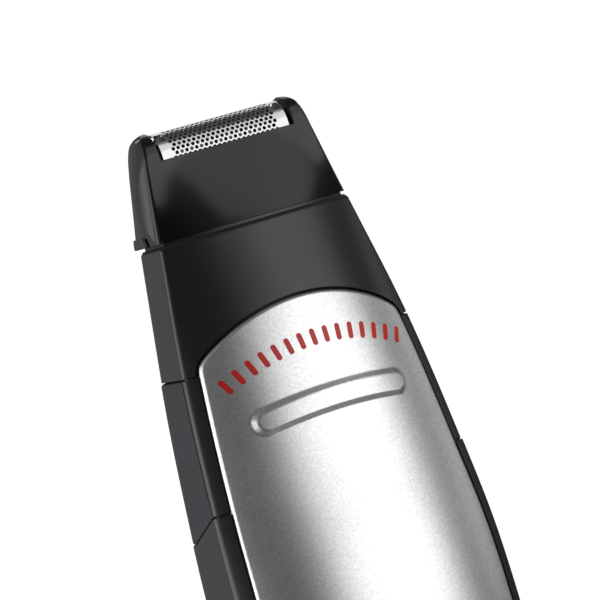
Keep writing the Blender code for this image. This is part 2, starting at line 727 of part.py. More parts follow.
def grip_block(side, inset_out, inset_in, grow):
    """A side grip's slab, on the right or mirrored to the left."""
    first, last = GRIP_FIRST, GRIP_LAST
    spread_out = grow / GRIP_SIDE_SPAN
    low_edge = SEAM_GAP / 2 if grow == 0 else -2 * OVERSHOOT

    def low_at(t):
        return lower_seam(t) + low_edge

    high = UPPER_SEAM - SEAM_GAP / 2 if grow == 0 else UPPER_SEAM + 2 * OVERSHOOT
    if side < 0:
        first, last = 6 - last, 6 - first
    return skin_patch(first - spread_out, last + spread_out, low_at, level(high),
                      inset_out, inset_in, 9, 3)


def mid_casing():
    middle = casing_tube(lambda t: lower_seam(t) + SEAM_GAP / 2, level(UPPER_SEAM - SEAM_GAP / 2),
                         0.0, WALL, 4)
    for side in (1, -1):
        cut(middle, grip_block(side, -CUTTER_PROUD, GRIP_POCKET, FIT_GAP))
    cut_panel_pocket(middle)
    return finish(middle, "mid_casing", (0.02, 0.02, 0.022), 0.38)


def side_grip(side, name):
    grip = grip_block(side, 0.0, GRIP_THICKNESS, 0.0)
    return finish(grip, name, (0.045, 0.048, 0.052), 0.62)


def rear_grip():
    grip = skin_patch(REAR_GRIP_FIRST, 6 - REAR_GRIP_FIRST, level(REAR_GRIP_BOTTOM), level(REAR_GRIP_TOP),
                      -LOWER_CASING_PROUD - REAR_GRIP_PROUD, GRIP_THICKNESS, 8, 8)
    return finish(grip, "rear_grip", (0.045, 0.048, 0.052), 0.62)


def lower_casing():
    low = BASE_CAP_HEIGHT + SEAM_GAP / 2
    casing = casing_tube(level(low), lambda t: lower_seam(t) - SEAM_GAP / 2, -LOWER_CASING_PROUD, WALL, 8)
    boss_front = front_y(0, BUTTON_HEIGHT) + POCKET_DEPTH + FIT_GAP
    boss_back = front_y(0, BUTTON_HEIGHT) + WALL + BUTTON_BOSS_LENGTH
    join(casing, cylinder((0, BUTTON_HEIGHT), BUTTON_BOSS_RADIUS, boss_front, boss_back, "y", 32))
    cut_panel_pocket(casing)
    seat = front_y(0, BUTTON_HEIGHT) - BUTTON_PROUD + BUTTON_CAP_THICKNESS + BUTTON_TRAVEL + FIT_GAP
    cut(casing, cylinder((0, BUTTON_HEIGHT), BUTTON_RADIUS + FIT_GAP, -FAR, seat, "y", 32))
    cut(casing, cylinder((0, BUTTON_HEIGHT), BUTTON_STEM_RADIUS + FIT_GAP, -FAR, 0, "y", 24))
    cut(casing, cylinder((0, LENS_HEIGHT), LENS_RADIUS + FIT_GAP, -FAR, 0, "y", 16))
    first = REAR_GRIP_FIRST - REAR_GRIP_SPREAD
    pocket = skin_patch(first, 6 - first, level(REAR_GRIP_BOTTOM - REAR_GRIP_MARGIN),
                        level(REAR_GRIP_TOP + REAR_GRIP_MARGIN), -CUTTER_PROUD, GRIP_POCKET, 8, 8)
    cut(casing, pocket)
    return finish(casing, "lower_casing", (0.022, 0.023, 0.026), 0.4)


def gasket(middle, name):
    sleeve = casing_tube(level(middle - GASKET_HALF_HEIGHT), level(middle + GASKET_HALF_HEIGHT),
                         WALL + FIT_GAP, WALL + FIT_GAP + GASKET_THICKNESS, 1)
    return finish(sleeve, name, (0.03, 0.03, 0.03), 0.8)


def base_cap():
    cap = casing_solid(0.0, BASE_CAP_HEIGHT - SEAM_GAP / 2, 0.0, 3)
    cut(cap, casing_solid(BASE_FLOOR, BASE_CAP_HEIGHT + OVERSHOOT, WALL, 3))
    head_top = BASE_SCREW_SINK + BASE_SCREW_HEAD
    boss_radius = BASE_SCREW_HEAD_RADIUS + FIT_GAP + BASE_BOSS_WALL
    for x in (BASE_SCREW_X, -BASE_SCREW_X):
        place = (x, INLET_Y)
        join(cap, cylinder(place, boss_radius, BASE_FLOOR / 2, head_top + BASE_BOSS_LIFT))
        cut(cap, cylinder(place, BASE_SCREW_HEAD_RADIUS + FIT_GAP, -OVERSHOOT, head_top + FIT_GAP))
        cut(cap, cylinder(place, BASE_SCREW_RADIUS + FIT_GAP, -OVERSHOOT, BASE_CAP_HEIGHT, sides=16))
    wide = INLET_HALF_WIDTH + INLET_WALL + FIT_GAP
    deep = INLET_HALF_DEPTH + INLET_WALL + FIT_GAP
    cut(cap, box((-wide, INLET_Y - deep, -OVERSHOOT), (wide, INLET_Y + deep, BASE_CAP_HEIGHT)))
    return finish(cap, "base_cap", (0.02, 0.02, 0.022), 0.38)


# ---- button, ring, membrane and lens -------------------------------------------------

def button_parts():
    front = front_y(0, BUTTON_HEIGHT) - BUTTON_PROUD
    back = front + BUTTON_CAP_THICKNESS
    stem_end = PLUNGER_FRONT_Y - FIT_GAP - BUTTON_TRAVEL
    bevel = BUTTON_BEVEL
    profile = [(0, -front), (BUTTON_RADIUS - bevel, -front), (BUTTON_RADIUS, -front - bevel),
               (BUTTON_RADIUS, -back), (BUTTON_STEM_RADIUS, -back),
               (BUTTON_STEM_RADIUS, -stem_end), (0, -stem_end)]
    button = turned(profile, (0, BUTTON_HEIGHT), "y", 32)
    finish(button, "power_button", (0.3, 0.31, 0.32), 0.35, 0.6)
    inner = BUTTON_RADIUS + FIT_GAP
    collar = ring((0, BUTTON_HEIGHT), inner, inner + BUTTON_RING_WIDTH,
                  front_y(0, BUTTON_HEIGHT) - PANEL_PROUD - FIT_GAP,
                  front_y(0, BUTTON_HEIGHT) + PANEL_THICKNESS, "y", 32)
    finish(collar, "button_ring", (0.7, 0.71, 0.72), 0.25, 1.0)
    boss_back = front_y(0, BUTTON_HEIGHT) + WALL + BUTTON_BOSS_LENGTH
    seal = ring((0, BUTTON_HEIGHT), BUTTON_STEM_RADIUS + FIT_GAP, BUTTON_BOSS_RADIUS - MEMBRANE_MARGIN,
                boss_back + FIT_GAP, boss_back + FIT_GAP + MEMBRANE_THICKNESS, "y", 32)
    finish(seal, "button_membrane", (0.05, 0.05, 0.05), 0.8)


def charge_lens():
    led_front = BOARD_FRONT_Y - FIT_GAP - LED_DEPTH
    lens = cylinder((0, LENS_HEIGHT), LENS_RADIUS, front_y(0, LENS_HEIGHT) - PANEL_PROUD,
                    led_front - FIT_GAP, "y", 16)
    return finish(lens, "charge_lens", (0.75, 0.8, 0.85), 0.15)


# ---- control board ---------------------------------------------------------------------

def control_board():
    board = box((-BOARD_HALF_WIDTH, BOARD_FRONT_Y, BOARD_BOTTOM),
                (BOARD_HALF_WIDTH, BOARD_BACK_Y, BOARD_TOP))
    for x in (BOARD_SCREW_X, -BOARD_SCREW_X):
        cut(board, cylinder((x, BOARD_SCREW_HEIGHT), BOARD_SCREW_RADIUS + FIT_GAP, -FAR, FAR, "y", 16))
    return finish(board, "control_board", (0.02, 0.16, 0.07), 0.4)


def board_screw(x, name):
    face = BOARD_FRONT_Y - FIT_GAP
    tip = CHASSIS_BACK_Y + SINK
    profile = [(0, -face + BOARD_SCREW_HEAD), (BOARD_SCREW_HEAD_RADIUS, -face + BOARD_SCREW_HEAD),
               (BOARD_SCREW_HEAD_RADIUS, -face), (BOARD_SCREW_RADIUS, -face),
               (BOARD_SCREW_RADIUS, -tip), (0, -tip)]
    screw = turned(profile, (x, BOARD_SCREW_HEIGHT), "y", 16)
    return finish(screw, name, (0.6, 0.6, 0.6), 0.3, 1.0)


def board_components():
    back = BOARD_FRONT_Y - FIT_GAP
    half = SWITCH_SIDE / 2
    switch = box((-half, back - SWITCH_DEPTH, BUTTON_HEIGHT - half), (half, back, BUTTON_HEIGHT + half))
    join(switch, cylinder((0, BUTTON_HEIGHT), PLUNGER_RADIUS, PLUNGER_FRONT_Y, back - SWITCH_DEPTH / 2,
                          "y", 16))
    finish(switch, "tact_switch", (0.1, 0.1, 0.1), 0.5)
    half = LED_SIZE / 2
    led = box((-half, back - LED_DEPTH, LENS_HEIGHT - half), (half, back, LENS_HEIGHT + half))
    finish(led, "charge_led", (0.85, 0.85, 0.8), 0.3)
    half = CHIP_SIZE / 2
    chip = box((-half, back - CHIP_DEPTH, CHIP_HEIGHT - half), (half, back, CHIP_HEIGHT + half))
    finish(chip, "control_chip", (0.03, 0.03, 0.03), 0.5)


# ---- battery and chassis -----------------------------------------------------------------

def battery():
    centre = (0, BATTERY_Y)
    cap, edge, rim = CELL_CAP_RADIUS, CELL_BEVEL, CELL_CAP_HEIGHT
    profile = [(0, BATTERY_BOTTOM), (BATTERY_RADIUS - edge, BATTERY_BOTTOM),
               (BATTERY_RADIUS, BATTERY_BOTTOM + edge), (BATTERY_RADIUS, BATTERY_TOP - rim - edge),
               (BATTERY_RADIUS - edge, BATTERY_TOP - rim), (cap, BATTERY_TOP - rim),
               (cap, BATTERY_TOP), (0, BATTERY_TOP)]
    cell = turned(profile, centre, "z", 32)
    finish(cell, "battery_cell", (0.05, 0.2, 0.45), 0.4)
    for name, low in (("battery_tab_bottom", BATTERY_BOTTOM - FIT_GAP - TAB_THICKNESS),
                      ("battery_tab_top", BATTERY_TOP + FIT_GAP)):
        tab = box((-TAB_HALF_WIDTH, CHASSIS_BACK_Y + FIT_GAP, low),
                  (TAB_HALF_WIDTH, BATTERY_Y + BATTERY_RADIUS / 2, low + TAB_THICKNESS))
        finish(tab, name, (0.8, 0.7, 0.4), 0.3, 1.0)


def chassis_frame():
    frame = box((-CHASSIS_HALF_WIDTH, CHASSIS_FRONT_Y, CHASSIS_BOTTOM),
                (CHASSIS_HALF_WIDTH, CHASSIS_BACK_Y, CHASSIS_TOP))
    wall_back = BATTERY_Y + BATTERY_RADIUS * CHASSIS_WALL_REACH
    for low in (BATTERY_BOTTOM - TAB_GAP - CHASSIS_WALL, BATTERY_TOP + TAB_GAP):
        join(frame, box((-CHASSIS_WALL_HALF_WIDTH, CHASSIS_FRONT_Y + SINK, low),
                        (CHASSIS_WALL_HALF_WIDTH, wall_back, low + CHASSIS_WALL)))
    centre = (0, DRIVE_Y)
    join(frame, cylinder(centre, CRADLE_INNER + CRADLE_WALL, CRADLE_BOTTOM, CHASSIS_TOP - CRADLE_LIP,
                         sides=32))
    cut(frame, cylinder(centre, CRADLE_INNER, BELL_BOTTOM - FIT_GAP, CHASSIS_TOP + OVERSHOOT, sides=32))
    foot_top = CHASSIS_BOTTOM + CHASSIS_FOOT
    for x in (BASE_SCREW_X, -BASE_SCREW_X):
        place = (x, INLET_Y)
        low = BASE_CAP_HEIGHT - FIT_GAP
        join(frame, cylinder(place, CHASSIS_BOSS_RADIUS, low, foot_top))
        join(frame, box((x - CHASSIS_RIB_HALF_WIDTH, CHASSIS_FRONT_Y + SINK, CHASSIS_BOTTOM + 2 * SINK),
                        (x + CHASSIS_RIB_HALF_WIDTH, INLET_Y - 2 * SINK, foot_top - 2 * SINK)))
        cut(frame, cylinder(place, BASE_SCREW_RADIUS + RUNNING_GAP, 0, BASE_SCREW_TOP + FIT_GAP, sides=16))
    wide = LEAD_WINDOW_HALF_WIDTH
    front = CHASSIS_FRONT_Y - OVERSHOOT
    window_low = BATTERY_TOP + TAB_GAP + CHASSIS_WALL + FIT_GAP
    cut(frame, box((-wide, front, window_low), (wide, CHASSIS_BACK_Y + FIT_GAP, CAN_BOTTOM - CRADLE_LIFT)))
    cut(frame, box((-wide, front, 0), (wide, CHASSIS_BACK_Y + OVERSHOOT, foot_top)))
    for x in (BOARD_SCREW_X, -BOARD_SCREW_X):
        cut(frame, cylinder((x, BOARD_SCREW_HEIGHT), BOARD_SCREW_RADIUS + RUNNING_GAP, front,
                            CHASSIS_BACK_Y + OVERSHOOT, "y", 16))
    return finish(frame, "chassis_frame", (0.75, 0.75, 0.72), 0.5)


# ---- motor and drive -----------------------------------------------------------------------

def motor():
    centre = (0, DRIVE_Y)
    inner = MOTOR_RADIUS - CAN_WALL
    hole = SHAFT_RADIUS + FIT_GAP
    profile = [(MOTOR_RADIUS, CAN_BOTTOM), (MOTOR_RADIUS, MOTOR_TOP), (hole, MOTOR_TOP),
               (hole, MOTOR_TOP - CAN_WALL), (inner, MOTOR_TOP - CAN_WALL), (inner, CAN_BOTTOM)]
    can = turned(profile, centre, "z", 32)
    finish(can, "motor_can", (0.6, 0.6, 0.58), 0.3, 1.0)
    bell = ring(centre, SHAFT_RADIUS + RUNNING_GAP, MOTOR_RADIUS, BELL_BOTTOM, BELL_BOTTOM + BELL_HEIGHT,
                sides=32)
    finish(bell, "motor_end_bell", (0.9, 0.9, 0.85), 0.5)
    low = CAN_BOTTOM + MAGNET_LIFT
    high = low + ARMATURE_LENGTH + 2 * SINK
    armature_low = low + SINK
    outer = inner - FIT_GAP
    for side, name in ((0, "motor_magnet_right"), (math.pi, "motor_magnet_left")):
        angles = spread(side - MAGNET_SPREAD, side + MAGNET_SPREAD, 8)
        grids = [[[(r * math.cos(a), DRIVE_Y + r * math.sin(a), z) for z in (low, high)]
                  for a in angles] for r in (outer, outer - MAGNET_THICKNESS)]
        magnet = sandwich(grids[0], grids[1], False)
        finish(magnet, name, (0.12, 0.12, 0.13), 0.6)
    armature = ring(centre, SHAFT_RADIUS + RUNNING_GAP, ARMATURE_RADIUS, armature_low,
                    armature_low + ARMATURE_LENGTH, sides=24)
    finish(armature, "motor_armature", (0.6, 0.3, 0.15), 0.4, 0.8)
    shaft = cylinder(centre, SHAFT_RADIUS, BELL_BOTTOM + SHAFT_END_GAP, HUB_TOP - SHAFT_SEAT - RUNNING_GAP,
                     sides=24)
    finish(shaft, "motor_shaft", (0.7, 0.7, 0.7), 0.2, 1.0)
    hub = cylinder(centre, HUB_RADIUS, HUB_BOTTOM, HUB_TOP, sides=24)
    cut(hub, cylinder(centre, SHAFT_RADIUS + RUNNING_GAP, HUB_BOTTOM - OVERSHOOT, HUB_TOP - SHAFT_SEAT,
                      sides=24))
    pin_place = (DRIVE_THROW, DRIVE_Y)
    cut(hub, cylinder(pin_place, PIN_RADIUS + RUNNING_GAP, HUB_TOP - PIN_SEAT, HUB_TOP + OVERSHOOT, sides=16))
    finish(hub, "eccentric_hub", (0.85, 0.85, 0.8), 0.5)
    pin = cylinder(pin_place, PIN_RADIUS, HUB_TOP - PIN_SEAT + RUNNING_GAP, PIN_TOP, sides=16)
    finish(pin, "drive_pin", (0.7, 0.7, 0.7), 0.2, 1.0)
    seal_low = NECK_TOP - (DECK_THICKNESS + SEAL_HEIGHT) / 2
    seal = ring(centre, SHAFT_RADIUS + FIT_GAP, DECK_HOLE_RADIUS - FIT_GAP, seal_low, seal_low + SEAL_HEIGHT)
    finish(seal, "shaft_seal", (0.05, 0.05, 0.05), 0.8)


def leads():
    board_y = (BOARD_FRONT_Y + BOARD_BACK_Y) / 2
    pass_z = BELL_BOTTOM - LEAD_DROP
    for side, word in ((1, "right"), (-1, "left")):
        x = side * LEAD_X
        route = [(x, DRIVE_Y - LEAD_START_Y, BELL_BOTTOM - FIT_GAP), (x, DRIVE_Y - LEAD_TURN_Y, pass_z),
                 (x, CHASSIS_FRONT_Y, pass_z), (x, board_y, pass_z - LEAD_BEND),
                 (x, board_y, BOARD_TOP + FIT_GAP)]
        finish(tube(route, LEAD_RADIUS, "lead"), "motor_lead_" + word, (0.6, 0.05, 0.05), 0.5)
        pin_x = side * INLET_PIN_X
        route = [(pin_x, INLET_Y, INLET_HEIGHT + 2 * FIT_GAP),
                 (pin_x, INLET_Y - LEAD_BEND / 2, INLET_HEIGHT + LEAD_BEND),
                 (x, board_y, BOARD_BOTTOM - 2 * LEAD_BEND), (x, board_y, BOARD_BOTTOM - FIT_GAP)]
        finish(tube(route, LEAD_RADIUS, "lead"), "charge_lead_" + word, (0.05, 0.05, 0.4), 0.5)


# ---- charging inlet and base screws -----------------------------------------------------------

def inlet():
    wide = INLET_HALF_WIDTH + INLET_WALL
    deep = INLET_HALF_DEPTH + INLET_WALL
    housing = box((-wide, INLET_Y - deep, INLET_LIFT), (wide, INLET_Y + deep, INLET_HEIGHT))
    cut(housing, box((-INLET_HALF_WIDTH, INLET_Y - INLET_HALF_DEPTH, -OVERSHOOT),
                     (INLET_HALF_WIDTH, INLET_Y + INLET_HALF_DEPTH, INLET_LIFT + INLET_RECESS)))
    for side, word in ((1, "right"), (-1, "left")):
        place = (side * INLET_PIN_X, INLET_Y)
        cut(housing, cylinder(place, INLET_PIN_RADIUS + RUNNING_GAP, 0, INLET_HEIGHT + OVERSHOOT, sides=16))
        pin = cylinder(place, INLET_PIN_RADIUS, INLET_LIFT + INLET_RECESS - INLET_PIN_LENGTH,
                       INLET_HEIGHT + FIT_GAP, sides=16)
        finish(pin, "inlet_pin_" + word, (0.85, 0.7, 0.35), 0.25, 1.0)
    finish(housing, "inlet_housing", (0.03, 0.03, 0.03), 0.5)


def base_screw(x, name):
    low = BASE_SCREW_SINK
    high = low + BASE_SCREW_HEAD
    profile = [(0, low), (BASE_SCREW_HEAD_RADIUS, low), (BASE_SCREW_HEAD_RADIUS, high),
               (BASE_SCREW_RADIUS, high), (BASE_SCREW_RADIUS, BASE_SCREW_TOP), (0, BASE_SCREW_TOP)]
    screw = turned(profile, (x, INLET_Y), "z", 16)
    return finish(screw, name, (0.6, 0.6, 0.6), 0.3, 1.0)


# ---- head ------------------------------------------------------------------------------------------

def side_x(z):
    """Half width of the head at its side edges, leaning in and rounded at the top."""
    x = HEAD_HALF_WIDTH - HEAD_TAPER * (z - HANDLE_HEIGHT)
    above = z - (HEAD_TOP - CHEEK_CORNER_RADIUS)
    if above > 0:
        above = min(above, CHEEK_CORNER_RADIUS)
        x -= CHEEK_CORNER_RADIUS - math.sqrt(CHEEK_CORNER_RADIUS ** 2 - above ** 2)
    return x


def head_depth(z):
    """Half depth of the head at its side edges."""
    share = (z - HANDLE_HEIGHT) / (CHEEK_ARC_Z - HANDLE_HEIGHT)
    return HEAD_HALF_DEPTH + (CHEEK_TOP_RADIUS - HEAD_HALF_DEPTH) * min(max(share, 0), 1) ** DEPTH_POWER


def cover_crown(z):
    """How far a cover's middle stands out past its edges; nothing at the foil."""
    share = (z - HANDLE_HEIGHT) / (COVER_TOP - HANDLE_HEIGHT)
    return COVER_CROWN * max(1 - share, 0) ** COVER_CROWN_POWER + COVER_CROWN_LEFT


def cheek_outline():
    """The end wall's shape in y and z: leaning sides and a half-round top."""
    right = [(head_depth(z), z) for z in spread(HEAD_BOTTOM, CHEEK_ARC_Z, 4)]
    arc = [(CHEEK_TOP_RADIUS * math.cos(a), CHEEK_ARC_Z + CHEEK_TOP_RADIUS * math.sin(a))
           for a in spread(0, math.pi, 10)[1:-1]]
    left = [(-y, z) for y, z in reversed(right)]
    return right + arc + left


def head_cheek(side, name):
    """An end wall with a bulged outer face."""
    points = cheek_outline()
    middle_z = (HEAD_BOTTOM + CHEEK_ARC_Z) / 2
    rings = [[(HEAD_HALF_WIDTH - HEAD_TAPER * (z - HANDLE_HEIGHT) - CHEEK_THICKNESS, y, z)
              for y, z in points]]
    for share in (1.0, 0.8, 0.5, 0.2):
        row = []
        for y, z in points:
            height = middle_z + (z - middle_z) * share
            row.append((side_x(height) + CHEEK_BULGE * (1 - share ** 2), y * share, height))
        rings.append(row)
    rings[1] = [(max(x, inner[0] + CHEEK_EDGE), y, z) for (x, y, z), inner in zip(rings[1], rings[0])]
    placed = [[(side * x, DRIVE_Y + y, z) for x, y, z in row] for row in rings]
    return finish(loft(placed), name, (0.02, 0.02, 0.022), 0.35)


def cover_edge(z):
    """Half width of a cover: it ends inside the cheeks."""
    return HEAD_HALF_WIDTH - HEAD_TAPER * (z - HANDLE_HEIGHT) - CHEEK_THICKNESS - FIT_GAP


def cover_reach(x, z):
    """How far a cover's outer face is from the head's middle plane."""
    return head_depth(z) + cover_crown(z) * (1 - (x / side_x(z)) ** 2)


def head_cover(side, name):
    """A front or rear cover that runs from the seam up to the foil."""
    heights = spread(HEAD_BOTTOM, COVER_TOP, 6)
    outer = []
    inner = []
    for u in spread(-1, 1, 10):
        skin = []
        lining = []
        for z in heights:
            x = u * cover_edge(z)
            share = (z - HEAD_BOTTOM) / (COVER_TOP - HEAD_BOTTOM)
            thickness = COVER_THICKNESS + (COVER_LIP - COVER_THICKNESS) * share
            reach = cover_reach(x, z)
            skin.append((x, DRIVE_Y + side * reach, z))
            lining.append((x, DRIVE_Y + side * (reach - thickness), z))
        outer.append(skin)
        inner.append(lining)
    return finish(sandwich(outer, inner, False), name, (0.008, 0.008, 0.01), 0.12)


def head_base():
    edge = cover_edge(HEAD_BOTTOM + HEAD_BASE_THICKNESS) - FIT_GAP
    top = HEAD_BOTTOM + HEAD_BASE_THICKNESS
    front = [(x, cover_reach(x, top) - COVER_THICKNESS - FIT_GAP) for x in spread(-edge, edge, 12)]
    shape = [(x, DRIVE_Y - reach) for x, reach in front]
    shape += [(x, DRIVE_Y + reach) for x, reach in reversed(front)]
    base = slab_z(shape, HEAD_BOTTOM, top)
    for x in (GUIDE_POST_X, -GUIDE_POST_X):
        for y in (-1, 1):
            post = (x + math.copysign(GUIDE_POST_SPREAD, x), DRIVE_Y + y * GUIDE_POST_SPREAD)
            join(base, cylinder(post, GUIDE_POST_RADIUS, top - SINK, FORK_BOTTOM - FIT_GAP, sides=12))
    socket = SPIGOT_RADIUS + FIT_GAP + RUNNING_GAP
    cut(base, cylinder((0, DRIVE_Y), socket, 0, top + SPIGOT_SOCKET_HEIGHT, sides=32))
    return finish(base, "head_base", (0.03, 0.03, 0.03), 0.5)


def foil_frame():
    top = FRAME_TOP
    low = top - FRAME_HEIGHT
    half = cover_edge(top) - FIT_GAP
    deep = FOIL_RADIUS + FRAME_LEDGE
    frame = box((-half, DRIVE_Y - deep, low), (half, DRIVE_Y + deep, top))
    hole = BLOCK_HALF_LENGTH + DRIVE_THROW + 2 * FIT_GAP
    inner = deep - FRAME_RAIL
    cut(frame, box((-hole, DRIVE_Y - inner, low - OVERSHOOT), (hole, DRIVE_Y + inner, top + OVERSHOOT)))
    return finish(frame, "foil_frame", (0.03, 0.03, 0.03), 0.4)


def shaver_foil():
    """A half-round sheet with straight skirts that stand on the frame."""
    def across(radius):
        arc = [(radius * math.cos(a), FOIL_AXIS_Z + radius * math.sin(a)) for a in spread(0, math.pi, 16)]
        return [(radius, FOIL_BOTTOM)] + arc + [(-radius, FOIL_BOTTOM)]
    grids = [[[(x, DRIVE_Y + y, z) for x in spread(-FOIL_HALF_LENGTH, FOIL_HALF_LENGTH, 1)]
              for y, z in across(radius)] for radius in (FOIL_RADIUS, FOIL_RADIUS - FOIL_THICKNESS)]
    return finish(sandwich(grids[0], grids[1], False), "shaver_foil", (0.75, 0.75, 0.76), 0.2, 1.0)


def drive_fork():
    fork = box((-FORK_HALF_LENGTH, DRIVE_Y - FORK_HALF_DEPTH, FORK_BOTTOM),
               (FORK_HALF_LENGTH, DRIVE_Y + FORK_HALF_DEPTH, FORK_TOP))
    slot_x = PIN_RADIUS + 2 * DRIVE_THROW + FIT_GAP
    slot_y = PIN_RADIUS + DRIVE_THROW + FIT_GAP
    cut(fork, box((-slot_x, DRIVE_Y - slot_y, FORK_BOTTOM - OVERSHOOT),
                  (slot_x, DRIVE_Y + slot_y, FORK_TOP + OVERSHOOT)))
    return finish(fork, "drive_fork", (0.8, 0.8, 0.76), 0.5)


def blade_block():
    block = box((-BLOCK_HALF_LENGTH, DRIVE_Y - BLOCK_HALF_DEPTH, BLOCK_BOTTOM),
                (BLOCK_HALF_LENGTH, DRIVE_Y + BLOCK_HALF_DEPTH, BLOCK_TOP))
    return finish(block, "blade_block", (0.8, 0.8, 0.76), 0.5)


def cutter_blades():
    """Half-round blades on one spine, made as steps of radius along x."""
    pitch = 2 * (BLOCK_HALF_LENGTH - BLADE_THICKNESS / 2) / (BLADE_COUNT - 1)
    stations = []
    for k in range(BLADE_COUNT):
        x = -BLOCK_HALF_LENGTH + BLADE_THICKNESS / 2 + k * pitch
        if k:
            stations.append((x - BLADE_THICKNESS / 2, BLADE_SPINE_RADIUS))
        stations.append((x - BLADE_THICKNESS / 2, BLADE_RADIUS))
        stations.append((x + BLADE_THICKNESS / 2, BLADE_RADIUS))
        if k < BLADE_COUNT - 1:
            stations.append((x + BLADE_THICKNESS / 2, BLADE_SPINE_RADIUS))
    rings = []
    for x, radius in stations:
        arc = [(x, DRIVE_Y + radius * math.cos(a), FOIL_AXIS_Z + radius * math.sin(a))
               for a in spread(0, math.pi, 8)]
        foot = [(x, DRIVE_Y - BLADE_SPINE_RADIUS, BLADE_BOTTOM),
                (x, DRIVE_Y + BLADE_SPINE_RADIUS, BLADE_BOTTOM)]
        rings.append(arc + foot)
    return finish(loft(rings), "cutter_blades", (0.6, 0.6, 0.62), 0.25, 1.0)


def blade_spring(x, name):
    """A small coil spring between the fork and the blade block."""
    low = FORK_TOP + FIT_GAP + SPRING_WIRE
    high = BLOCK_BOTTOM - FIT_GAP - SPRING_WIRE
    steps = SPRING_TURNS * 10
    sides = 5
    rings = []
    for k in range(steps + 1):
        turn = 2 * math.pi * SPRING_TURNS * k / steps
        outward = Vector((math.cos(turn), math.sin(turn), 0))
        middle = Vector((x, DRIVE_Y, low + (high - low) * k / steps)) + outward * SPRING_RADIUS
        rings.append([middle + SPRING_WIRE * (outward * math.cos(2 * math.pi * s / sides)
                      + Vector((0, 0, math.sin(2 * math.pi * s / sides)))) for s in range(sides)])
    return finish(loft(rings), name, (0.7, 0.7, 0.7), 0.25, 1.0)


def hang_from(empty_name, place, names):
    """Parent moving pieces to an empty on their joint's axis, without moving them."""
    pivot = bpy.data.objects.new(empty_name, None)
    bpy.context.scene.collection.objects.link(pivot)
    pivot.location = place
    for name in names:
        piece = bpy.data.objects[name]
        piece.parent = pivot
        piece.matrix_parent_inverse = Matrix.Translation(place).inverted()


def build():
    clear_scene()
    neck_collar()
    mid_casing()
    lower_casing()
    base_cap()
    front_panel()
    side_grip(1, "grip_right")
    side_grip(-1, "grip_left")
    rear_grip()
    gasket(UPPER_SEAM, "seam_gasket")
    gasket(BASE_CAP_HEIGHT, "base_gasket")
    button_parts()
    charge_lens()
    control_board()
    board_screw(BOARD_SCREW_X, "board_screw_right")
    board_screw(-BOARD_SCREW_X, "board_screw_left")
    board_components()
    battery()
    chassis_frame()
    motor()
    leads()
    inlet()
    base_screw(BASE_SCREW_X, "base_screw_right")
    base_screw(-BASE_SCREW_X, "base_screw_left")
    head_base()
    head_cover(-1, "head_front_cover")
    head_cover(1, "head_rear_cover")
    head_cheek(1, "head_cheek_right")
    head_cheek(-1, "head_cheek_left")
    foil_frame()
    shaver_foil()
    drive_fork()
    blade_block()
    cutter_blades()
    blade_spring(SPRING_X, "blade_spring_right")
    blade_spring(-SPRING_X, "blade_spring_left")
    hang_from("rotor_axis", Vector((0, DRIVE_Y, BELL_BOTTOM)),
              ["motor_armature", "motor_shaft", "eccentric_hub", "drive_pin"])
    hang_from("button_axis", Vector((0, front_y(0, BUTTON_HEIGHT), BUTTON_HEIGHT)), ["power_button"])
    hang_from("head_axis", Vector((0, DRIVE_Y, HEAD_BOTTOM)),
              ["head_base", "head_front_cover", "head_rear_cover", "head_cheek_right", "head_cheek_left",
               "foil_frame", "shaver_foil"])
    hang_from("cutter_axis", Vector((0, DRIVE_Y, FORK_BOTTOM)),
              ["drive_fork", "blade_spring_right", "blade_spring_left"])
    hang_from("block_axis", Vector((0, DRIVE_Y, BLOCK_BOTTOM)), ["blade_block", "cutter_blades"])


build()
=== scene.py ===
import json
import math

import bpy
import numpy as np
from mathutils import Matrix, Vector


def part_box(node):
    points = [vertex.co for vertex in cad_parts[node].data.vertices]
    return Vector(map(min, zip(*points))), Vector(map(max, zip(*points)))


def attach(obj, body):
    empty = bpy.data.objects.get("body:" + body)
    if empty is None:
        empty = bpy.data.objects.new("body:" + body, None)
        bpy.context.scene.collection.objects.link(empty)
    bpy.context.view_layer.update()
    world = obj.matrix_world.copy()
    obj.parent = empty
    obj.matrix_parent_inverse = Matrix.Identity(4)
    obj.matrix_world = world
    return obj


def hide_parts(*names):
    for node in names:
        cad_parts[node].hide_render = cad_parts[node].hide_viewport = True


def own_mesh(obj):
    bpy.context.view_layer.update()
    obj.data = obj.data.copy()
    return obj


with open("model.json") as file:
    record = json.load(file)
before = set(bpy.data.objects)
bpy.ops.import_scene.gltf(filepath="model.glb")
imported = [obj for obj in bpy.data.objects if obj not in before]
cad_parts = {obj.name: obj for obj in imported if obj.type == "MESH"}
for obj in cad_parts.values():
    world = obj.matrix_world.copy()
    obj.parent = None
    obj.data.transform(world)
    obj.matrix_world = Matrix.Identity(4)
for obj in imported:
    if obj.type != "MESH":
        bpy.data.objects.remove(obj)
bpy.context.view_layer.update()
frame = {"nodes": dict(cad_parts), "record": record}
mm = 0.001
nodes = frame["nodes"]


def joined(*parts):
    # coordinates or indices side by side in a last axis
    return np.stack(np.broadcast_arrays(*parts), axis=-1)


def low(node):
    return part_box(node)[0]


def high(node):
    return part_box(node)[1]


# heights that the pieces share, read from the frame
seam = dict(
    gap=0.2 * mm,
    headGap=0.45 * mm,
    base=(high("base_cap").z + low("lower_casing").z) / 2,
    lower=high("lower_casing").z + 0.225 * mm,
    lowerFall=high("lower_casing").z - low("mid_casing").z + 0.45 * mm,
    upper=(high("mid_casing").z + low("neck_collar").z) / 2,
    head=low("head_base").z - 0.225 * mm,
    top=high("head_cheek_right").z,
)
driveY = (low("shaver_foil").y + high("shaver_foil").y) / 2

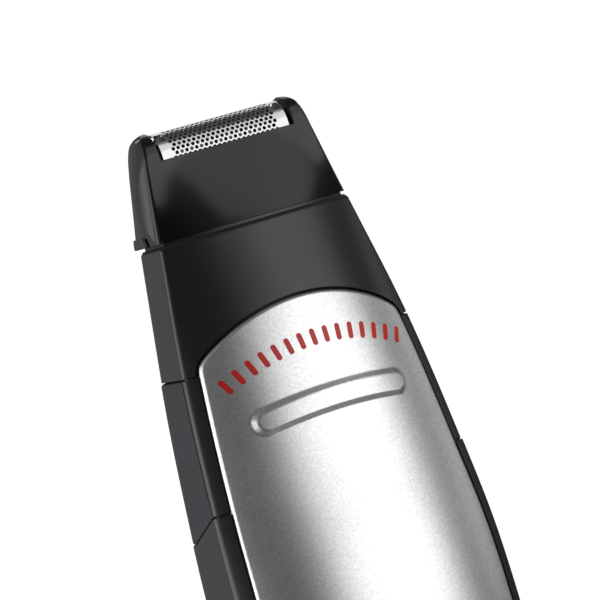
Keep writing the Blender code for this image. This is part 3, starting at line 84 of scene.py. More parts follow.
# the handle's section at a few heights: half width, front edge, front crown, rear start, rear depth
handleForm = dict(
    height=np.array([0, 40 * mm, 70 * mm, seam["head"] - 53.4 * mm, seam["lower"], seam["upper"],
                     seam["head"]]),
    halfWidth=np.array([17.2, 20.0, 21.3, 21.1, 20.3, 18.4, 15.3]) * mm,
    edgeY=np.array([-4.9, -6.3, -7.1, -6.7, -5.4, -3.4, -1.1]) * mm,
    crown=np.array([7.2, 9.4, 10.6, 10.5, 9.2, 8.0, 5.0]) * mm,
    rearY=np.array([5.0, 6.0, 6.0, 6.0, 6.0, 6.0, 8.0]) * mm,
    rearDepth=np.array([8.0, 10.0, 11.0, 11.0, 11.0, 10.5, 7.0]) * mm,
    edgeRound=0.55 * mm,
    wall=2.6 * mm,
    seamRound=0.14 * mm,
    tongueInset=0.45 * mm,
    tongueReach=0.35 * mm,
    lowerProud=0.18 * mm,
)


def smoothThrough(z, heights, values):
    # cubic Hermite curve through the values, with mean slopes that are flat at turning points
    slopes = np.diff(values) / np.diff(heights)
    inner = np.where(slopes[1:] * slopes[:-1] > 0, (slopes[1:] + slopes[:-1]) / 2, 0)
    ends = np.concatenate([slopes[:1], inner, slopes[-1:]])
    z = np.clip(z, heights[0], heights[-1])
    k = np.clip(np.searchsorted(heights, z, side="right") - 1, 0, len(heights) - 2)
    span = heights[k + 1] - heights[k]
    u = (z - heights[k]) / span
    return ((2 * u**3 - 3 * u**2 + 1) * values[k] + (u**3 - 2 * u**2 + u) * ends[k] * span
            + (3 * u**2 - 2 * u**3) * values[k + 1] + (u**3 - u**2) * ends[k + 1] * span)


def formAt(key, z):
    return smoothThrough(z, handleForm["height"], handleForm[key])


def plainOutline(t, z):
    # right half of the section for t 0..3: circular front arc, flat side, quarter ellipse behind
    half, edge, crown = formAt("halfWidth", z), formAt("edgeY", z), formAt("crown", z)
    rear, depth = formAt("rearY", z), formAt("rearDepth", z)
    radius = (half**2 + crown**2) / (2 * crown)
    x1 = np.clip(t, 0, 1) * half
    y1 = edge - (np.sqrt(radius**2 - x1**2) - (radius - crown))
    y2 = edge + np.clip(t - 1, 0, 1) * (rear - edge)
    turn = np.clip(t - 2, 0, 1) * math.pi / 2
    x = np.where(t <= 1, x1, np.where(t <= 2, half, half * np.cos(turn)))
    y = np.where(t <= 1, y1, np.where(t <= 2, y2, rear + depth * np.sin(turn)))
    return x, y


def outline(t, z):
    # whole section, mirrored about x = 0, with the front edge rounded by a quadratic curve
    t = np.mod(t + 1, 6) - 1
    flip = (t < 0) | (t > 3)
    tau = np.where(t < 0, -t, np.where(t > 3, 6 - t, t))
    x, y = plainOutline(tau, z)
    size = handleForm["edgeRound"]
    before = size / formAt("halfWidth", z)
    after = size / (formAt("rearY", z) - formAt("edgeY", z))
    s = np.clip((tau - 1 + before) / (before + after), 0, 1)
    ax, ay = plainOutline(1 - before + 0 * tau, z)
    bx, by = plainOutline(1 + 0 * tau, z)
    cx, cy = plainOutline(1 + after + 0 * tau, z)
    near = (s > 0) & (s < 1)
    x = np.where(near, (1 - s) ** 2 * ax + 2 * s * (1 - s) * bx + s**2 * cx, x)
    y = np.where(near, (1 - s) ** 2 * ay + 2 * s * (1 - s) * by + s**2 * cy, y)
    return np.where(flip, -x, x), y


def skin(t, z, inset):
    # the section's point moved inwards along its horizontal normal
    t, z, inset = np.broadcast_arrays(t, z, inset)
    step = 2e-3
    x, y = outline(t, z)
    xa, ya = outline(t - step, z)
    xb, yb = outline(t + step, z)
    dx, dy = xb - xa, yb - ya
    size = np.hypot(dx, dy)
    return joined(x - inset * dy / size, y + inset * dx / size, z)


def frontY(x, z):
    # height of the front surface over the point x, z
    return plainOutline(np.abs(x) / formAt("halfWidth", z), z)[1]


def evenPath(path, count):
    # the same path in even steps along its length
    length = np.concatenate([[0], np.cumsum(np.hypot(*np.diff(path, axis=0).T))])
    even = np.linspace(0, length[-1], count)
    return joined(*[np.interp(even, length, path[:, k]) for k in (0, 1)]), length[-1] / count


def edgeSteps(first, last, count, fine=0.06, fineCount=9):
    # stations between two corners, packed close to both, for t or for heights
    u = np.linspace(0, 1, fineCount)
    mid = np.linspace(fine, 1 - fine, count)[1:-1]
    share = np.concatenate([fine * u, mid, 1 - fine * u[::-1]])
    return first + (last - first) * share


def roundProfile(radius, count=6):
    # quarter round: distance along the surface and drop below it
    turn = np.linspace(0, math.pi / 2, count)
    return radius * (1 - np.cos(turn)), radius * (1 - np.sin(turn))


# mesh building

def weld(points, faces, size=2e-7):
    # merge points that coincide and drop the faces that close up
    keys = np.round(points / size).astype(np.int64)
    _, first, index = np.unique(keys, axis=0, return_index=True, return_inverse=True)
    index = index.reshape(-1)
    made = []
    for block in faces:
        block = index[block]
        if block.shape[1] == 4:
            same = [block[:, k] == block[:, (k + 1) % 4] for k in range(4)]
            count = sum(s.astype(int) for s in same)
            made.append(block[count == 0])
            for k in range(4):
                short = block[(count == 1) & same[k]]
                made.append(np.delete(short, k, axis=1))
        else:
            keep = (block[:, 0] != block[:, 1]) & (block[:, 1] != block[:, 2]) & (block[:, 2] != block[:, 0])
            made.append(block[keep])
    return points[first], [b for b in made if len(b)]


def signedVolume(points, faces):
    # sum of the tetrahedra from the origin to each triangle
    total = 0.0
    for block in faces:
        for k in range(1, block.shape[1] - 1):
            a, b, c = points[block[:, 0]], points[block[:, k]], points[block[:, k + 1]]
            total += np.einsum("ij,ij->i", a, np.cross(b, c)).sum()
    return total


def fullTurn(count):
    return np.linspace(0, 2 * math.pi, count, endpoint=False)


def addObject(name, data):
    made = bpy.data.objects.new(name, data)
    bpy.context.scene.collection.objects.link(made)
    return made


def solidObject(name, points, faces):
    # one mesh from blocks of quads and triangles, facing outwards
    points, faces = weld(np.asarray(points, float).reshape(-1, 3), faces)
    if signedVolume(points - points.mean(0), faces) < 0:
        faces = [block[:, ::-1] for block in faces]
    mesh = bpy.data.meshes.new(name)
    mesh.vertices.add(len(points))
    mesh.vertices.foreach_set("co", points.astype(np.float32).ravel())
    loops = np.concatenate([block.ravel() for block in faces])
    sizes = np.concatenate([np.full(len(block), block.shape[1]) for block in faces])
    mesh.loops.add(len(loops))
    mesh.loops.foreach_set("vertex_index", loops.astype(np.int32))
    mesh.polygons.add(len(sizes))
    starts = np.concatenate([[0], np.cumsum(sizes)[:-1]])
    mesh.polygons.foreach_set("loop_start", starts.astype(np.int32))
    mesh.update(calc_edges=True)
    return addObject(name, mesh)


def smoothFaces(mesh, sharp=32):
    mesh.shade_smooth()
    mesh.set_sharp_from_angle(angle=math.radians(sharp))


def makePiece(name, shape, body, slotName, replaced=(), sharp=32, others=()):
    piece = solidObject(name, *shape)
    piece.data.validate()
    smoothFaces(piece.data, sharp)
    for finish in others or [slotName]:
        piece.data.materials.append(finishes[finish])
    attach(piece, body)
    if replaced:
        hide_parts(*replaced)
    return piece


def gridFaces(rows, columns, wrapRows=False, wrapColumns=False, start=0):
    # quads of a rows by columns grid of points
    i = np.arange(rows if wrapRows else rows - 1)
    j = np.arange(columns if wrapColumns else columns - 1)
    i, j = np.meshgrid(i, j, indexing="ij")
    a = start + i * columns + j
    b = start + (i + 1) % rows * columns + j
    c = start + (i + 1) % rows * columns + (j + 1) % columns
    d = start + i * columns + (j + 1) % columns
    return joined(a, b, c, d).reshape(-1, 4)


def loopSkin(rings):
    # rings of points joined one to the next and the last to the first, each ring closed too
    rings = np.stack(rings)
    return rings.reshape(-1, 3), [gridFaces(rings.shape[0], rings.shape[1], True, True)]


def cappedRings(rings):
    # closed rings joined one to the next, with a fan of triangles over the first and the last
    rows, count = rings.shape[:2]
    points = np.concatenate([rings.reshape(-1, 3), rings[[0, -1]].mean(1)])
    cap = np.arange(count)
    after = np.roll(cap, -1)
    last = (rows - 1) * count
    return points, [gridFaces(rows, count, False, True), joined(after, cap, rows * count),
                    joined(rows * count + 1, last + cap, last + after)]


def closedPatch(outer, inner):
    # two grids of the same size joined by walls along their four borders
    rows, columns = outer.shape[:2]
    points = np.concatenate([outer.reshape(-1, 3), inner.reshape(-1, 3)])
    half = rows * columns
    faces = [gridFaces(rows, columns), gridFaces(rows, columns, start=half)[:, ::-1]]
    index = np.arange(half).reshape(rows, columns)
    border = np.concatenate([index[:-1, 0], index[-1, :-1], index[:0:-1, -1], index[0, :0:-1]])
    nextOne = np.roll(border, -1)
    faces.append(joined(border, border + half, nextOne + half, nextOne))
    return points, faces


def turnedSolid(name, profile, centre, sides=96, along="z"):
    # a profile of radius and height carried round an axis, with both ends on it
    turn = fullTurn(sides)
    radius, height = np.array(profile).T[:, :, None]
    x, y = centre[0] + radius * np.cos(turn), centre[1] + radius * np.sin(turn)
    rings = joined(x, y, height) if along == "z" else joined(x, height, y)
    return solidObject(name, rings.reshape(-1, 3), [gridFaces(len(rings), sides, False, True)])


# shader groups, each built once

def newGroup(name, inputs, outputs):
    group = bpy.data.node_groups.new(name, "ShaderNodeTree")
    for label, kind, value in inputs:
        socket = group.interface.new_socket(label, in_out="INPUT", socket_type=kind)
        if value is not None:
            socket.default_value = value
    for label, kind in outputs:
        group.interface.new_socket(label, in_out="OUTPUT", socket_type=kind)
    return group, group.nodes.new("NodeGroupInput"), group.nodes.new("NodeGroupOutput")


def addNode(tree, kind, **settings):
    node = tree.nodes.new(kind)
    for key, value in settings.items():
        setattr(node, key, value)
    return node


def mathNode(tree, operation, first, second=None, third=None):
    node = addNode(tree, "ShaderNodeMath", operation=operation)
    for socket, value in zip(node.inputs, (first, second, third)):
        if value is None:
            continue
        if isinstance(value, (int, float)):
            socket.default_value = value
        else:
            tree.links.new(value, socket)
    return node.outputs[0]


def textureNode(group, kind, place, scale, detail=None):
    node = addNode(group, kind)
    group.links.new(place, node.inputs["Vector"])
    if isinstance(scale, float):
        node.inputs["Scale"].default_value = scale
    else:
        group.links.new(scale, node.inputs["Scale"])
    if detail:
        node.inputs["Detail"].default_value = detail
    return node


floatKind, colourKind, vectorKind = "NodeSocketFloat", "NodeSocketColor", "NodeSocketVector"
groupOutputs = [("Colour", colourKind), ("Roughness", floatKind), ("Height", floatKind)]


def mouldedGrain():
    # fine moulded texture, slow sheen change and a little dust
    group, given, made = newGroup("moulded grain", [
        ("Place", vectorKind, None), ("Colour", colourKind, (0.02, 0.02, 0.02, 1)),
        ("Grain", floatKind, 4000.0), ("Roughness", floatKind, 0.4), ("Unevenness", floatKind, 0.05),
        ("Dust", floatKind, 0.1)], groupOutputs)
    link, place = group.links.new, given.outputs["Place"]
    fine = textureNode(group, "ShaderNodeTexNoise", place, given.outputs["Grain"], 2.0)
    slow = textureNode(group, "ShaderNodeTexNoise", place, 60.0, 3.0)
    specks = textureNode(group, "ShaderNodeTexNoise", place, 1500.0, 1.0)
    speckMask = mathNode(group, "SMOOTH_MIN", mathNode(group, "MAXIMUM",
                         mathNode(group, "MULTIPLY_ADD", specks.outputs[0], 9.0, -6.3), 0.0), 1.0, 0.1)
    dust = mathNode(group, "MULTIPLY", speckMask, given.outputs["Dust"])
    mix = addNode(group, "ShaderNodeMix", data_type="RGBA")
    link(dust, mix.inputs["Factor"])
    link(given.outputs["Colour"], mix.inputs[6])
    mix.inputs[7].default_value = (0.25, 0.25, 0.26, 1)
    link(mix.outputs[2], made.inputs["Colour"])
    shift = mathNode(group, "SUBTRACT", slow.outputs[0], 0.5)
    uneven = mathNode(group, "MULTIPLY", shift, given.outputs["Unevenness"])
    rough = mathNode(group, "ADD", given.outputs["Roughness"], uneven)
    link(mathNode(group, "MULTIPLY_ADD", dust, 0.3, rough), made.inputs["Roughness"])
    link(fine.outputs[0], made.inputs["Height"])
    return group


def metalFlake():
    # small cells that each tilt and brighten on their own, as in a metallic paint
    group, given, made = newGroup("metal flake", [
        ("Place", vectorKind, None), ("Colour", colourKind, (0.6, 0.6, 0.6, 1)), ("Flake", floatKind, 9000.0),
        ("Contrast", floatKind, 0.15), ("Roughness", floatKind, 0.35)], groupOutputs)
    link, place = group.links.new, given.outputs["Place"]
    cells = textureNode(group, "ShaderNodeTexVoronoi", place, given.outputs["Flake"])
    grey = addNode(group, "ShaderNodeRGBToBW")
    link(cells.outputs["Color"], grey.inputs[0])
    slow = textureNode(group, "ShaderNodeTexNoise", place, 90.0)
    shift = mathNode(group, "SUBTRACT", grey.outputs[0], 0.5)
    tone = mathNode(group, "MULTIPLY_ADD", shift, given.outputs["Contrast"], 1.0)
    scale = addNode(group, "ShaderNodeVectorMath", operation="SCALE")
    link(given.outputs["Colour"], scale.inputs[0])
    link(tone, scale.inputs["Scale"])
    link(scale.outputs[0], made.inputs["Colour"])
    drift = mathNode(group, "MULTIPLY", mathNode(group, "SUBTRACT", slow.outputs[0], 0.5), 0.05)
    link(mathNode(group, "ADD", given.outputs["Roughness"], drift), made.inputs["Roughness"])
    link(grey.outputs[0], made.inputs["Height"])
    return group


grainGroup = mouldedGrain()
flakeGroup = metalFlake()


def newMaterial(name):
    made = bpy.data.materials.new(name)
    made.use_nodes = True
    tree = made.node_tree
    place = addNode(tree, "ShaderNodeTexCoord")
    return made, tree, tree.nodes["Principled BSDF"], place.outputs["Object"]


def useGroup(tree, group, place, shader, values, bump, distance):
    node = addNode(tree, "ShaderNodeGroup", node_tree=group)
    tree.links.new(place, node.inputs["Place"])
    for key, value in values.items():
        node.inputs[key].default_value = value
    tree.links.new(node.outputs["Colour"], shader.inputs["Base Color"])
    tree.links.new(node.outputs["Roughness"], shader.inputs["Roughness"])
    if bump:
        relief = addNode(tree, "ShaderNodeBump")
        relief.inputs["Strength"].default_value = bump
        relief.inputs["Distance"].default_value = distance
        tree.links.new(node.outputs["Height"], relief.inputs["Height"])
        tree.links.new(relief.outputs[0], shader.inputs["Normal"])
    return node


def plastic(name, colour, roughness, grain=4000.0, bump=0.15, uneven=0.05, dust=0.05, specular=0.5, coat=0.0):
    made, tree, shader, place = newMaterial(name)
    useGroup(tree, grainGroup, place, shader,
             {"Colour": (*colour, 1), "Grain": grain, "Roughness": roughness, "Unevenness": uneven,
              "Dust": dust}, bump, 0.02 * mm)
    shader.inputs["Specular IOR Level"].default_value = specular
    shader.inputs["Coat Weight"].default_value = coat
    shader.inputs["Coat Roughness"].default_value = 0.08
    return made


def metal(name, colour, roughness, flake=9000.0, contrast=0.1, bump=0.1, metallic=1.0):
    made, tree, shader, place = newMaterial(name)
    useGroup(tree, flakeGroup, place, shader,
             {"Colour": (*colour, 1), "Flake": flake, "Contrast": contrast, "Roughness": roughness},
             bump, 0.01 * mm)
    shader.inputs["Metallic"].default_value = metallic
    return made


# one finish for each slot, and the ink of the print
finishes = {
    "satin_black": plastic("satin black shell", (0.0105, 0.0108, 0.0125), 0.34, 5200.0, 0.1, 0.05, 0.02,
                           0.68),
    "soft_grip": plastic("soft touch grip", (0.036, 0.040, 0.046), 0.46, 2600.0, 0.35, 0.06, 0.03),
    "gloss_black": plastic("gloss black cover", (0.004, 0.004, 0.0045), 0.2, 900.0, 0.01, 0.02, 0.01),
    "silver_panel": metal("silver metallic paint", (0.82, 0.825, 0.82), 0.385, 4800.0, 0.32, 0.5, 0.97),
    "foil_steel": metal("bright foil steel", (0.6, 0.59, 0.575), 0.2, 3000.0, 0.05, 0.05),
    "blade_steel": metal("ground blade steel", (0.16, 0.16, 0.165), 0.3, 3000.0, 0.1, 0.1),
    "motor_steel": metal("plated motor steel", (0.6, 0.6, 0.58), 0.28, 2000.0, 0.08, 0.1),
    "bright_trim": metal("polished trim", (0.8, 0.8, 0.81), 0.1, 4000.0, 0.03, 0.02),
    "contact_metal": metal("plated contact", (0.83, 0.66, 0.33), 0.25, 3000.0, 0.06, 0.05),
    "copper_winding": metal("copper winding", (0.7, 0.33, 0.16), 0.35, 1200.0, 0.25, 0.3),
    "magnet_grey": plastic("sintered magnet", (0.05, 0.05, 0.055), 0.6, 3000.0, 0.3),
    "part_black": plastic("black moulding", (0.018, 0.018, 0.02), 0.45, 4000.0, 0.12),
    "seal_rubber": plastic("seal rubber", (0.015, 0.015, 0.015), 0.62, 3000.0, 0.25),
    "inner_plastic": plastic("white moulding", (0.62, 0.62, 0.59), 0.45, 3500.0, 0.1),
    "button_silver": metal("satin button paint", (0.45, 0.46, 0.47), 0.34, 8000.0, 0.12, 0.15, 0.9),
    "board_green": plastic("green solder mask", (0.012, 0.11, 0.05), 0.3, 800.0, 0.1),
    "battery_wrap": plastic("battery wrap", (0.02, 0.11, 0.3), 0.3, 900.0, 0.03),
    "red_print": plastic("red print ink", (0.55, 0.018, 0.01), 0.4, 6000.0, 0.05, 0.03, 0.0),
    "lead_red": plastic("red insulation", (0.5, 0.02, 0.02), 0.45, 3000.0, 0.05),
    "lead_blue": plastic("blue insulation", (0.02, 0.03, 0.3), 0.45, 3000.0, 0.05),
    "clear_lens": plastic("smoked lens", (0.25, 0.27, 0.3), 0.08, 900.0, 0.0, 0.01, 0.0, 0.6, 0.5),
}
for entry in frame["record"]["subparts"]:
    holder = nodes[entry["node"]]
    holder.data.materials.clear()
    holder.data.materials.append(finishes[entry["material_slot"]])
print("materials ready")


# casing shells
frontCount, sideCount, rearCount = 61, 15, 61


def allRound():
    # stations round the whole section, close together at the front edges
    front = edgeSteps(-1, 1, frontCount, 0.03, 9)[:-1]
    right = edgeSteps(1, 2, sideCount, 0.09, 9)[:-1]
    rear = np.linspace(2, 4, rearCount)[:-1]
    left = edgeSteps(4, 5, sideCount, 0.09, 9)[:-1]
    return np.concatenate([front, right, rear, left])


def lowerSeam(t):
    # level in front, straight down along each side, level behind
    t = np.mod(t + 1, 6) - 1
    share = np.clip(np.minimum(t - 1, 5 - t), 0, 1)
    return seam["lower"] - seam["lowerFall"] * share


def shellRings(t, bottom, top, rows, proud=0.0, radius=None):
    # outer rings from bottom to top with rounded ends, then the inner wall back down
    radius = handleForm["seamRound"] if radius is None else radius
    away, drop = roundProfile(radius)
    rings = []
    for a, d in zip(away, drop):
        rings.append(skin(t, bottom + a, d - proud))
    for share in np.linspace(0, 1, rows)[1:-1]:
        rings.append(skin(t, bottom + radius + share * (top - bottom - 2 * radius), -proud))
    for a, d in zip(away[::-1], drop[::-1]):
        rings.append(skin(t, top - a, d - proud))
    # a tongue that closes the seam to the shell above
    tongue = handleForm["tongueInset"] - np.minimum(proud, 0)
    rings.append(skin(t, top, tongue))
    rings.append(skin(t, top + handleForm["tongueReach"], tongue))
    rings.append(skin(t, top + handleForm["tongueReach"], handleForm["wall"]))
    for share in np.linspace(1, 0, 6)[1:]:
        rings.append(skin(t, bottom + share * (top - bottom), handleForm["wall"]))
    return rings


# front panel: its outline in x and z, then rings that run in from the rim
panelForm = dict(
    border=2.1 * mm,
    top=high("front_panel").z + 0.35 * mm,
    bottom=low("front_panel").z,
    topRadius=25.0 * mm,
    bottomRadius=22.9 * mm,
    cornerRadius=2.0 * mm,
    margin=0.22 * mm,
    neckGap=0.26 * mm,
    proud=0.25 * mm,
    thickness=1.2 * mm,
    chamferWidth=0.38 * mm,
    chamferDrop=0.3 * mm,
    rim=np.array([(0.0, 0.1), (0.03, 0.03), (0.08, -0.02)]) * mm,
)


def panelHalfWidth(z):
    return formAt("halfWidth", z) - panelForm["border"]


def archDrop(x, radius):
    return radius - np.sqrt(radius**2 - x**2)


def panelRightEdge(count=900):
    # right half outline from bottom middle to top middle; corners rounded by averaging over an arc length
    form = panelForm
    reachLow = panelHalfWidth(form["bottom"] + 6 * mm)
    reachTop = panelHalfWidth(form["top"] - 6 * mm)
    for _ in range(8):
        reachLow = panelHalfWidth(form["bottom"] + archDrop(reachLow, form["bottomRadius"]))
        reachTop = panelHalfWidth(form["top"] - archDrop(reachTop, form["topRadius"]))
    x = np.linspace(0, reachLow, 120)
    lowArc = joined(x, form["bottom"] + archDrop(x, form["bottomRadius"]))
    z = np.linspace(lowArc[-1, 1], form["top"] - archDrop(reachTop, form["topRadius"]), 500)
    side = joined(panelHalfWidth(z), z)
    x = np.linspace(reachTop, 0, 120)
    topArc = joined(x, form["top"] - archDrop(x, form["topRadius"]))
    path = np.concatenate([lowArc, side[1:], topArc[1:]])
    path, step = evenPath(path, count)
    reach = int(form["cornerRadius"] * 0.9 / step)
    mirrored = path * [-1, 1]
    padded = np.concatenate([mirrored[reach:0:-1], path, mirrored[-2:-reach - 2:-1]])
    kernel = np.ones(reach) / reach
    for _ in range(2):
        padded = joined(*[np.convolve(padded[:, k], kernel, "same") for k in (0, 1)])
    path = padded[reach:-reach]
    path[0, 0] = path[-1, 0] = 0
    return path


panelEdge = panelRightEdge()


def panelLoop(step, fineReach=0.0):
    # whole outline, anticlockwise as seen from the front, with inward normals:
    # every step-th point, and every point within fineReach of the ridge's height
    keep = np.arange(len(panelEdge)) % step == 0
    keep |= np.abs(panelEdge[:, 1] - ridgeForm["middle"] + ridgeForm["sag"] / 2) < fineReach
    keep[-1] = True
    right = panelEdge[keep]
    loop = np.concatenate([right, (right[1:-1] * [-1, 1])[::-1]])
    ahead, behind = np.roll(loop, -1, axis=0), np.roll(loop, 1, axis=0)
    along = ahead - behind
    along /= np.linalg.norm(along, axis=1)[:, None]
    return loop, joined(-along[:, 1], along[:, 0])


def ridgeHeight(x, z):
    # thumb ridge: a plateau with sloped sides over an arched bar with round ends
    form = ridgeForm
    straight = form["halfLength"] - form["halfHeight"]
    over = np.clip(np.abs(x) - straight, 0, None)
    middle = form["middle"] - form["sag"] * (np.minimum(np.abs(x), straight) / form["halfLength"]) ** 2
    away = np.hypot(over, z - middle)
    slope = (form["halfHeight"] - away) / form["slope"]
    soft = form["soften"]
    rise = np.where(slope < soft, np.clip(slope + soft, 0, None) ** 2 / (4 * soft), slope)
    over = slope - 1
    return form["rise"] * np.where(over > -soft, 1 - np.clip(soft - over, 0, None) ** 2 / (4 * soft), rise)


ridgeForm = dict(
    middle=seam["head"] - 27.8 * mm,
    halfLength=12.5 * mm,
    halfHeight=2.08 * mm,
    sag=1.2 * mm,
    slope=0.82 * mm,
    rise=0.72 * mm,
    soften=0.16,
)


# round openings along y: the power key's ring sits in the first, the charge lens in the second
holeForm = dict(
    keyZ=(low("power_button").z + high("power_button").z) / 2,
    keyReach=high("power_button").x + 0.3 * mm,
    ringReach=high("button_ring").x + 0.3 * mm,
    ringBack=high("button_ring").y + 0.05 * mm,
    lensZ=(low("charge_lens").z + high("charge_lens").z) / 2,
    lensReach=high("charge_lens").x + 0.3 * mm,
    front=-24 * mm,
    back=-11 * mm,
)


def frontHoles(piece):
    form = holeForm
    front, back, step = form["front"], form["back"], form["ringBack"]
    ring, key, lens = form["ringReach"], form["keyReach"], form["lensReach"]
    keyProfile = [(0, front), (ring, front), (ring, step), (key, step), (key, back), (0, back)]
    lensProfile = [(0, front), (lens, front), (lens, back), (0, back)]
    for profile, z in ((keyProfile, form["keyZ"]), (lensProfile, form["lensZ"])):
        combine(piece, turnedSolid("frontHole", profile, (0, z), 96, "y"))
    return piece


def makePanel():
    loop, inward = panelLoop(3, 3.6 * mm)
    form = panelForm
    spineLow = form["bottom"] + 14 * mm
    spineHigh = form["top"] - 14 * mm
    spine = joined(0 * loop[:, 0], np.clip(loop[:, 1], spineLow, spineHigh))
    front = -form["proud"]
    rim = [(0.0, form["thickness"])]
    rim += [(away, front + form["chamferDrop"] + sink) for away, sink in form["rim"]]
    for share in np.linspace(0.2, 1, 7):
        ease = 1 - (1 - share) ** 1.35
        rim.append((share * form["chamferWidth"], front + form["chamferDrop"] * (1 - ease)))
    rings = []
    for distance, inset in rim:
        flat = loop + inward * distance
        y = frontY(flat[:, 0], flat[:, 1]) + inset
        rings.append(joined(flat[:, 0], y, flat[:, 1]))
    start = loop + inward * form["chamferWidth"]
    for share in np.linspace(0, 1, 110)[1:]:
        flat = start + (spine - start) * share
        y = frontY(flat[:, 0], flat[:, 1]) + front - ridgeHeight(flat[:, 0], flat[:, 1])
        rings.append(joined(flat[:, 0], y, flat[:, 1]))
    back = []
    for share in (1.0, 0.5):
        flat = loop + (spine - loop) * share
        y = frontY(flat[:, 0], flat[:, 1]) + form["thickness"]
        back.append(joined(flat[:, 0], y, flat[:, 1]))
    rings = np.stack(rings + back)
    count = rings.shape[0]
    columns = rings.shape[1]
    faces = gridFaces(count, columns, True, True)
    row = faces[:, 0] // columns
    faces = faces[row != count - 3]
    return frontHoles(makePiece("frontPanel", (rings.reshape(-1, 3), [faces]), "handle",
                                "silver_panel", ["front_panel"], 40))


def prismSolid(loop, lowY, highY):
    # a closed loop in x and z carried along y, with one flat face at each end
    count = len(loop)
    points = np.concatenate([joined(loop[:, 0], y, loop[:, 1]) for y in (lowY, highY)])
    faces = [list(range(count)), list(range(2 * count - 1, count - 1, -1))]
    faces += [[k, k + count, (k + 1) % count + count, (k + 1) % count] for k in range(count)]
    mesh = bpy.data.meshes.new("prism")
    mesh.from_pydata(points.tolist(), [], faces)
    return addObject("prism", mesh)


def combine(piece, other, operation="DIFFERENCE"):
    # exact boolean, applied, with the second object removed
    change = piece.modifiers.new("combine", "BOOLEAN")
    change.operation = operation
    change.solver = "EXACT"
    change.object = other
    bpy.context.view_layer.update()
    view = bpy.context.evaluated_depsgraph_get()
    result = bpy.data.meshes.new_from_object(piece.evaluated_get(view))
    piece.modifiers.remove(change)
    piece.data = result
    bpy.data.objects.remove(other, do_unlink=True)
    smoothFaces(result)
    return piece


def boxSolid(name, x, y, z):
    # a block between two values along each axis
    corner = np.array([[x[0], y[0]], [x[1], y[0]], [x[1], y[1]], [x[0], y[1]]])
    points = np.stack([joined(corner[:, 0], corner[:, 1], h) for h in z])
    return solidObject(name, points, [gridFaces(2, 4, False, True), np.array([[3, 2, 1, 0], [4, 5, 6, 7]])])


# room left under, above and beyond the panel and the rear grip
pocketForm = dict(under=0.25 * mm, above=4 * mm, beyond=3 * mm, rearGrow=0.15 * mm, rearSide=0.012,
                  rearUnder=0.2 * mm)


def panelPocket(extra=0.0):
    # room for the panel: its outline grown by the margin, down to just under the panel's back
    loop, inward = panelLoop(9)
    loop = loop - inward * (panelForm["margin"] + extra)
    form = pocketForm
    depth = panelForm["thickness"] + form["under"]
    t = np.linspace(-0.99, 0.99, 41)[:, None]
    z = np.linspace(panelForm["bottom"] - form["beyond"], panelForm["top"] + form["beyond"], 61)[None, :]
    slab = solidObject("pocket", *closedPatch(skin(t, z, -form["above"]), skin(t, z, depth)))
    return combine(slab, prismSolid(loop, -40 * mm, 0), "INTERSECT")


# the neck's rim and spigot: reach or inset, and height from the rim or the deck
neckForm = dict(
    rim=np.array([(0.0, -0.55), (0.03, -0.5), (0.34, -0.05), (0.4, 0.0), (0.75, 0.0), (0.8, 0.44)]) * mm,
    spigot=np.array([(6.0, 0.0), (6.0, 1.55), (5.85, 1.75), (5.65, 1.8), (4.95, 1.8), (4.75, 1.75),
                     (4.6, 1.55), (4.6, -0.4), (4.2, -0.4), (4.2, -3.0)]) * mm,
    deckDrop=3.0 * mm,
)


def makeNeck():
    t = allRound()
    bottom = seam["upper"] + seam["gap"] / 2
    top = seam["head"] - seam["headGap"] / 2
    rings = shellRings(t, bottom, top, 30)
    outer, wall = rings[:-8], rings[-6:]
    # chamfered rim, then a step that nearly fills the gap under the head
    outer = outer[:-6] + [skin(t, top + rise, inset) for inset, rise in neckForm["rim"]]
    # deck with a spigot round the drive, on rings that go from the section to a circle
    top = top + neckForm["rim"][-1, 1]
    x, y = outline(t, top + 0 * t)
    turn = np.arctan2(y - driveY, x)
    deck = [joined(radius * np.cos(turn), driveY + radius * np.sin(turn), top + height)
            for radius, height in neckForm["spigot"]]
    under = skin(t, top - neckForm["deckDrop"], handleForm["wall"])
    shape = loopSkin(outer + deck + [under] + wall[2:])
    neck = makePiece("neckShell", shape, "handle", "satin_black", ["neck_collar"])
    return combine(neck, panelPocket(panelForm["neckGap"]))


def makeMid():
    # the skin steps inwards behind each side grip
    first, last = gripForm["first"] - gripForm["sideGap"], gripForm["last"] + gripForm["sideGap"]
    steps = np.array([first - 5e-4, first + 5e-4, last - 5e-4, last + 5e-4])
    t = np.unique(np.concatenate([allRound(), steps, 6 - steps]))
    behind = ((t > first) & (t < last)) | ((t > 6 - last) & (t < 6 - first))
    proud = np.where(behind, -gripForm["pocket"], 0.0)
    bottom, top = lowerSeam(t) + seam["gap"] / 2, seam["upper"] - seam["gap"] / 2
    shape = loopSkin(shellRings(t, bottom, top, 24, proud))
    mid = makePiece("midShell", shape, "handle", "satin_black", ["mid_casing"])
    return combine(mid, panelPocket())


def makeLower():
    t = allRound()
    bottom = seam["base"] + seam["gap"] / 2
    shape = loopSkin(shellRings(t, bottom, lowerSeam(t) - seam["gap"] / 2, 70, handleForm["lowerProud"]))
    lower = makePiece("lowerShell", shape, "handle", "satin_black", ["lower_casing"])
    combine(lower, panelPocket())
    grow = pocketForm["rearGrow"]
    t = np.linspace(rearForm["first"] - pocketForm["rearSide"], 6.012 - rearForm["first"], 41)[:, None]
    z = np.linspace(rearForm["bottom"] - grow, rearForm["top"] + grow, 41)[None, :]
    depth = rearForm["thickness"] + pocketForm["rearUnder"]
    pocket = closedPatch(skin(t, z, -pocketForm["above"]), skin(t, z, depth))
    combine(lower, solidObject("rearPocket", *pocket))
    return frontHoles(lower)


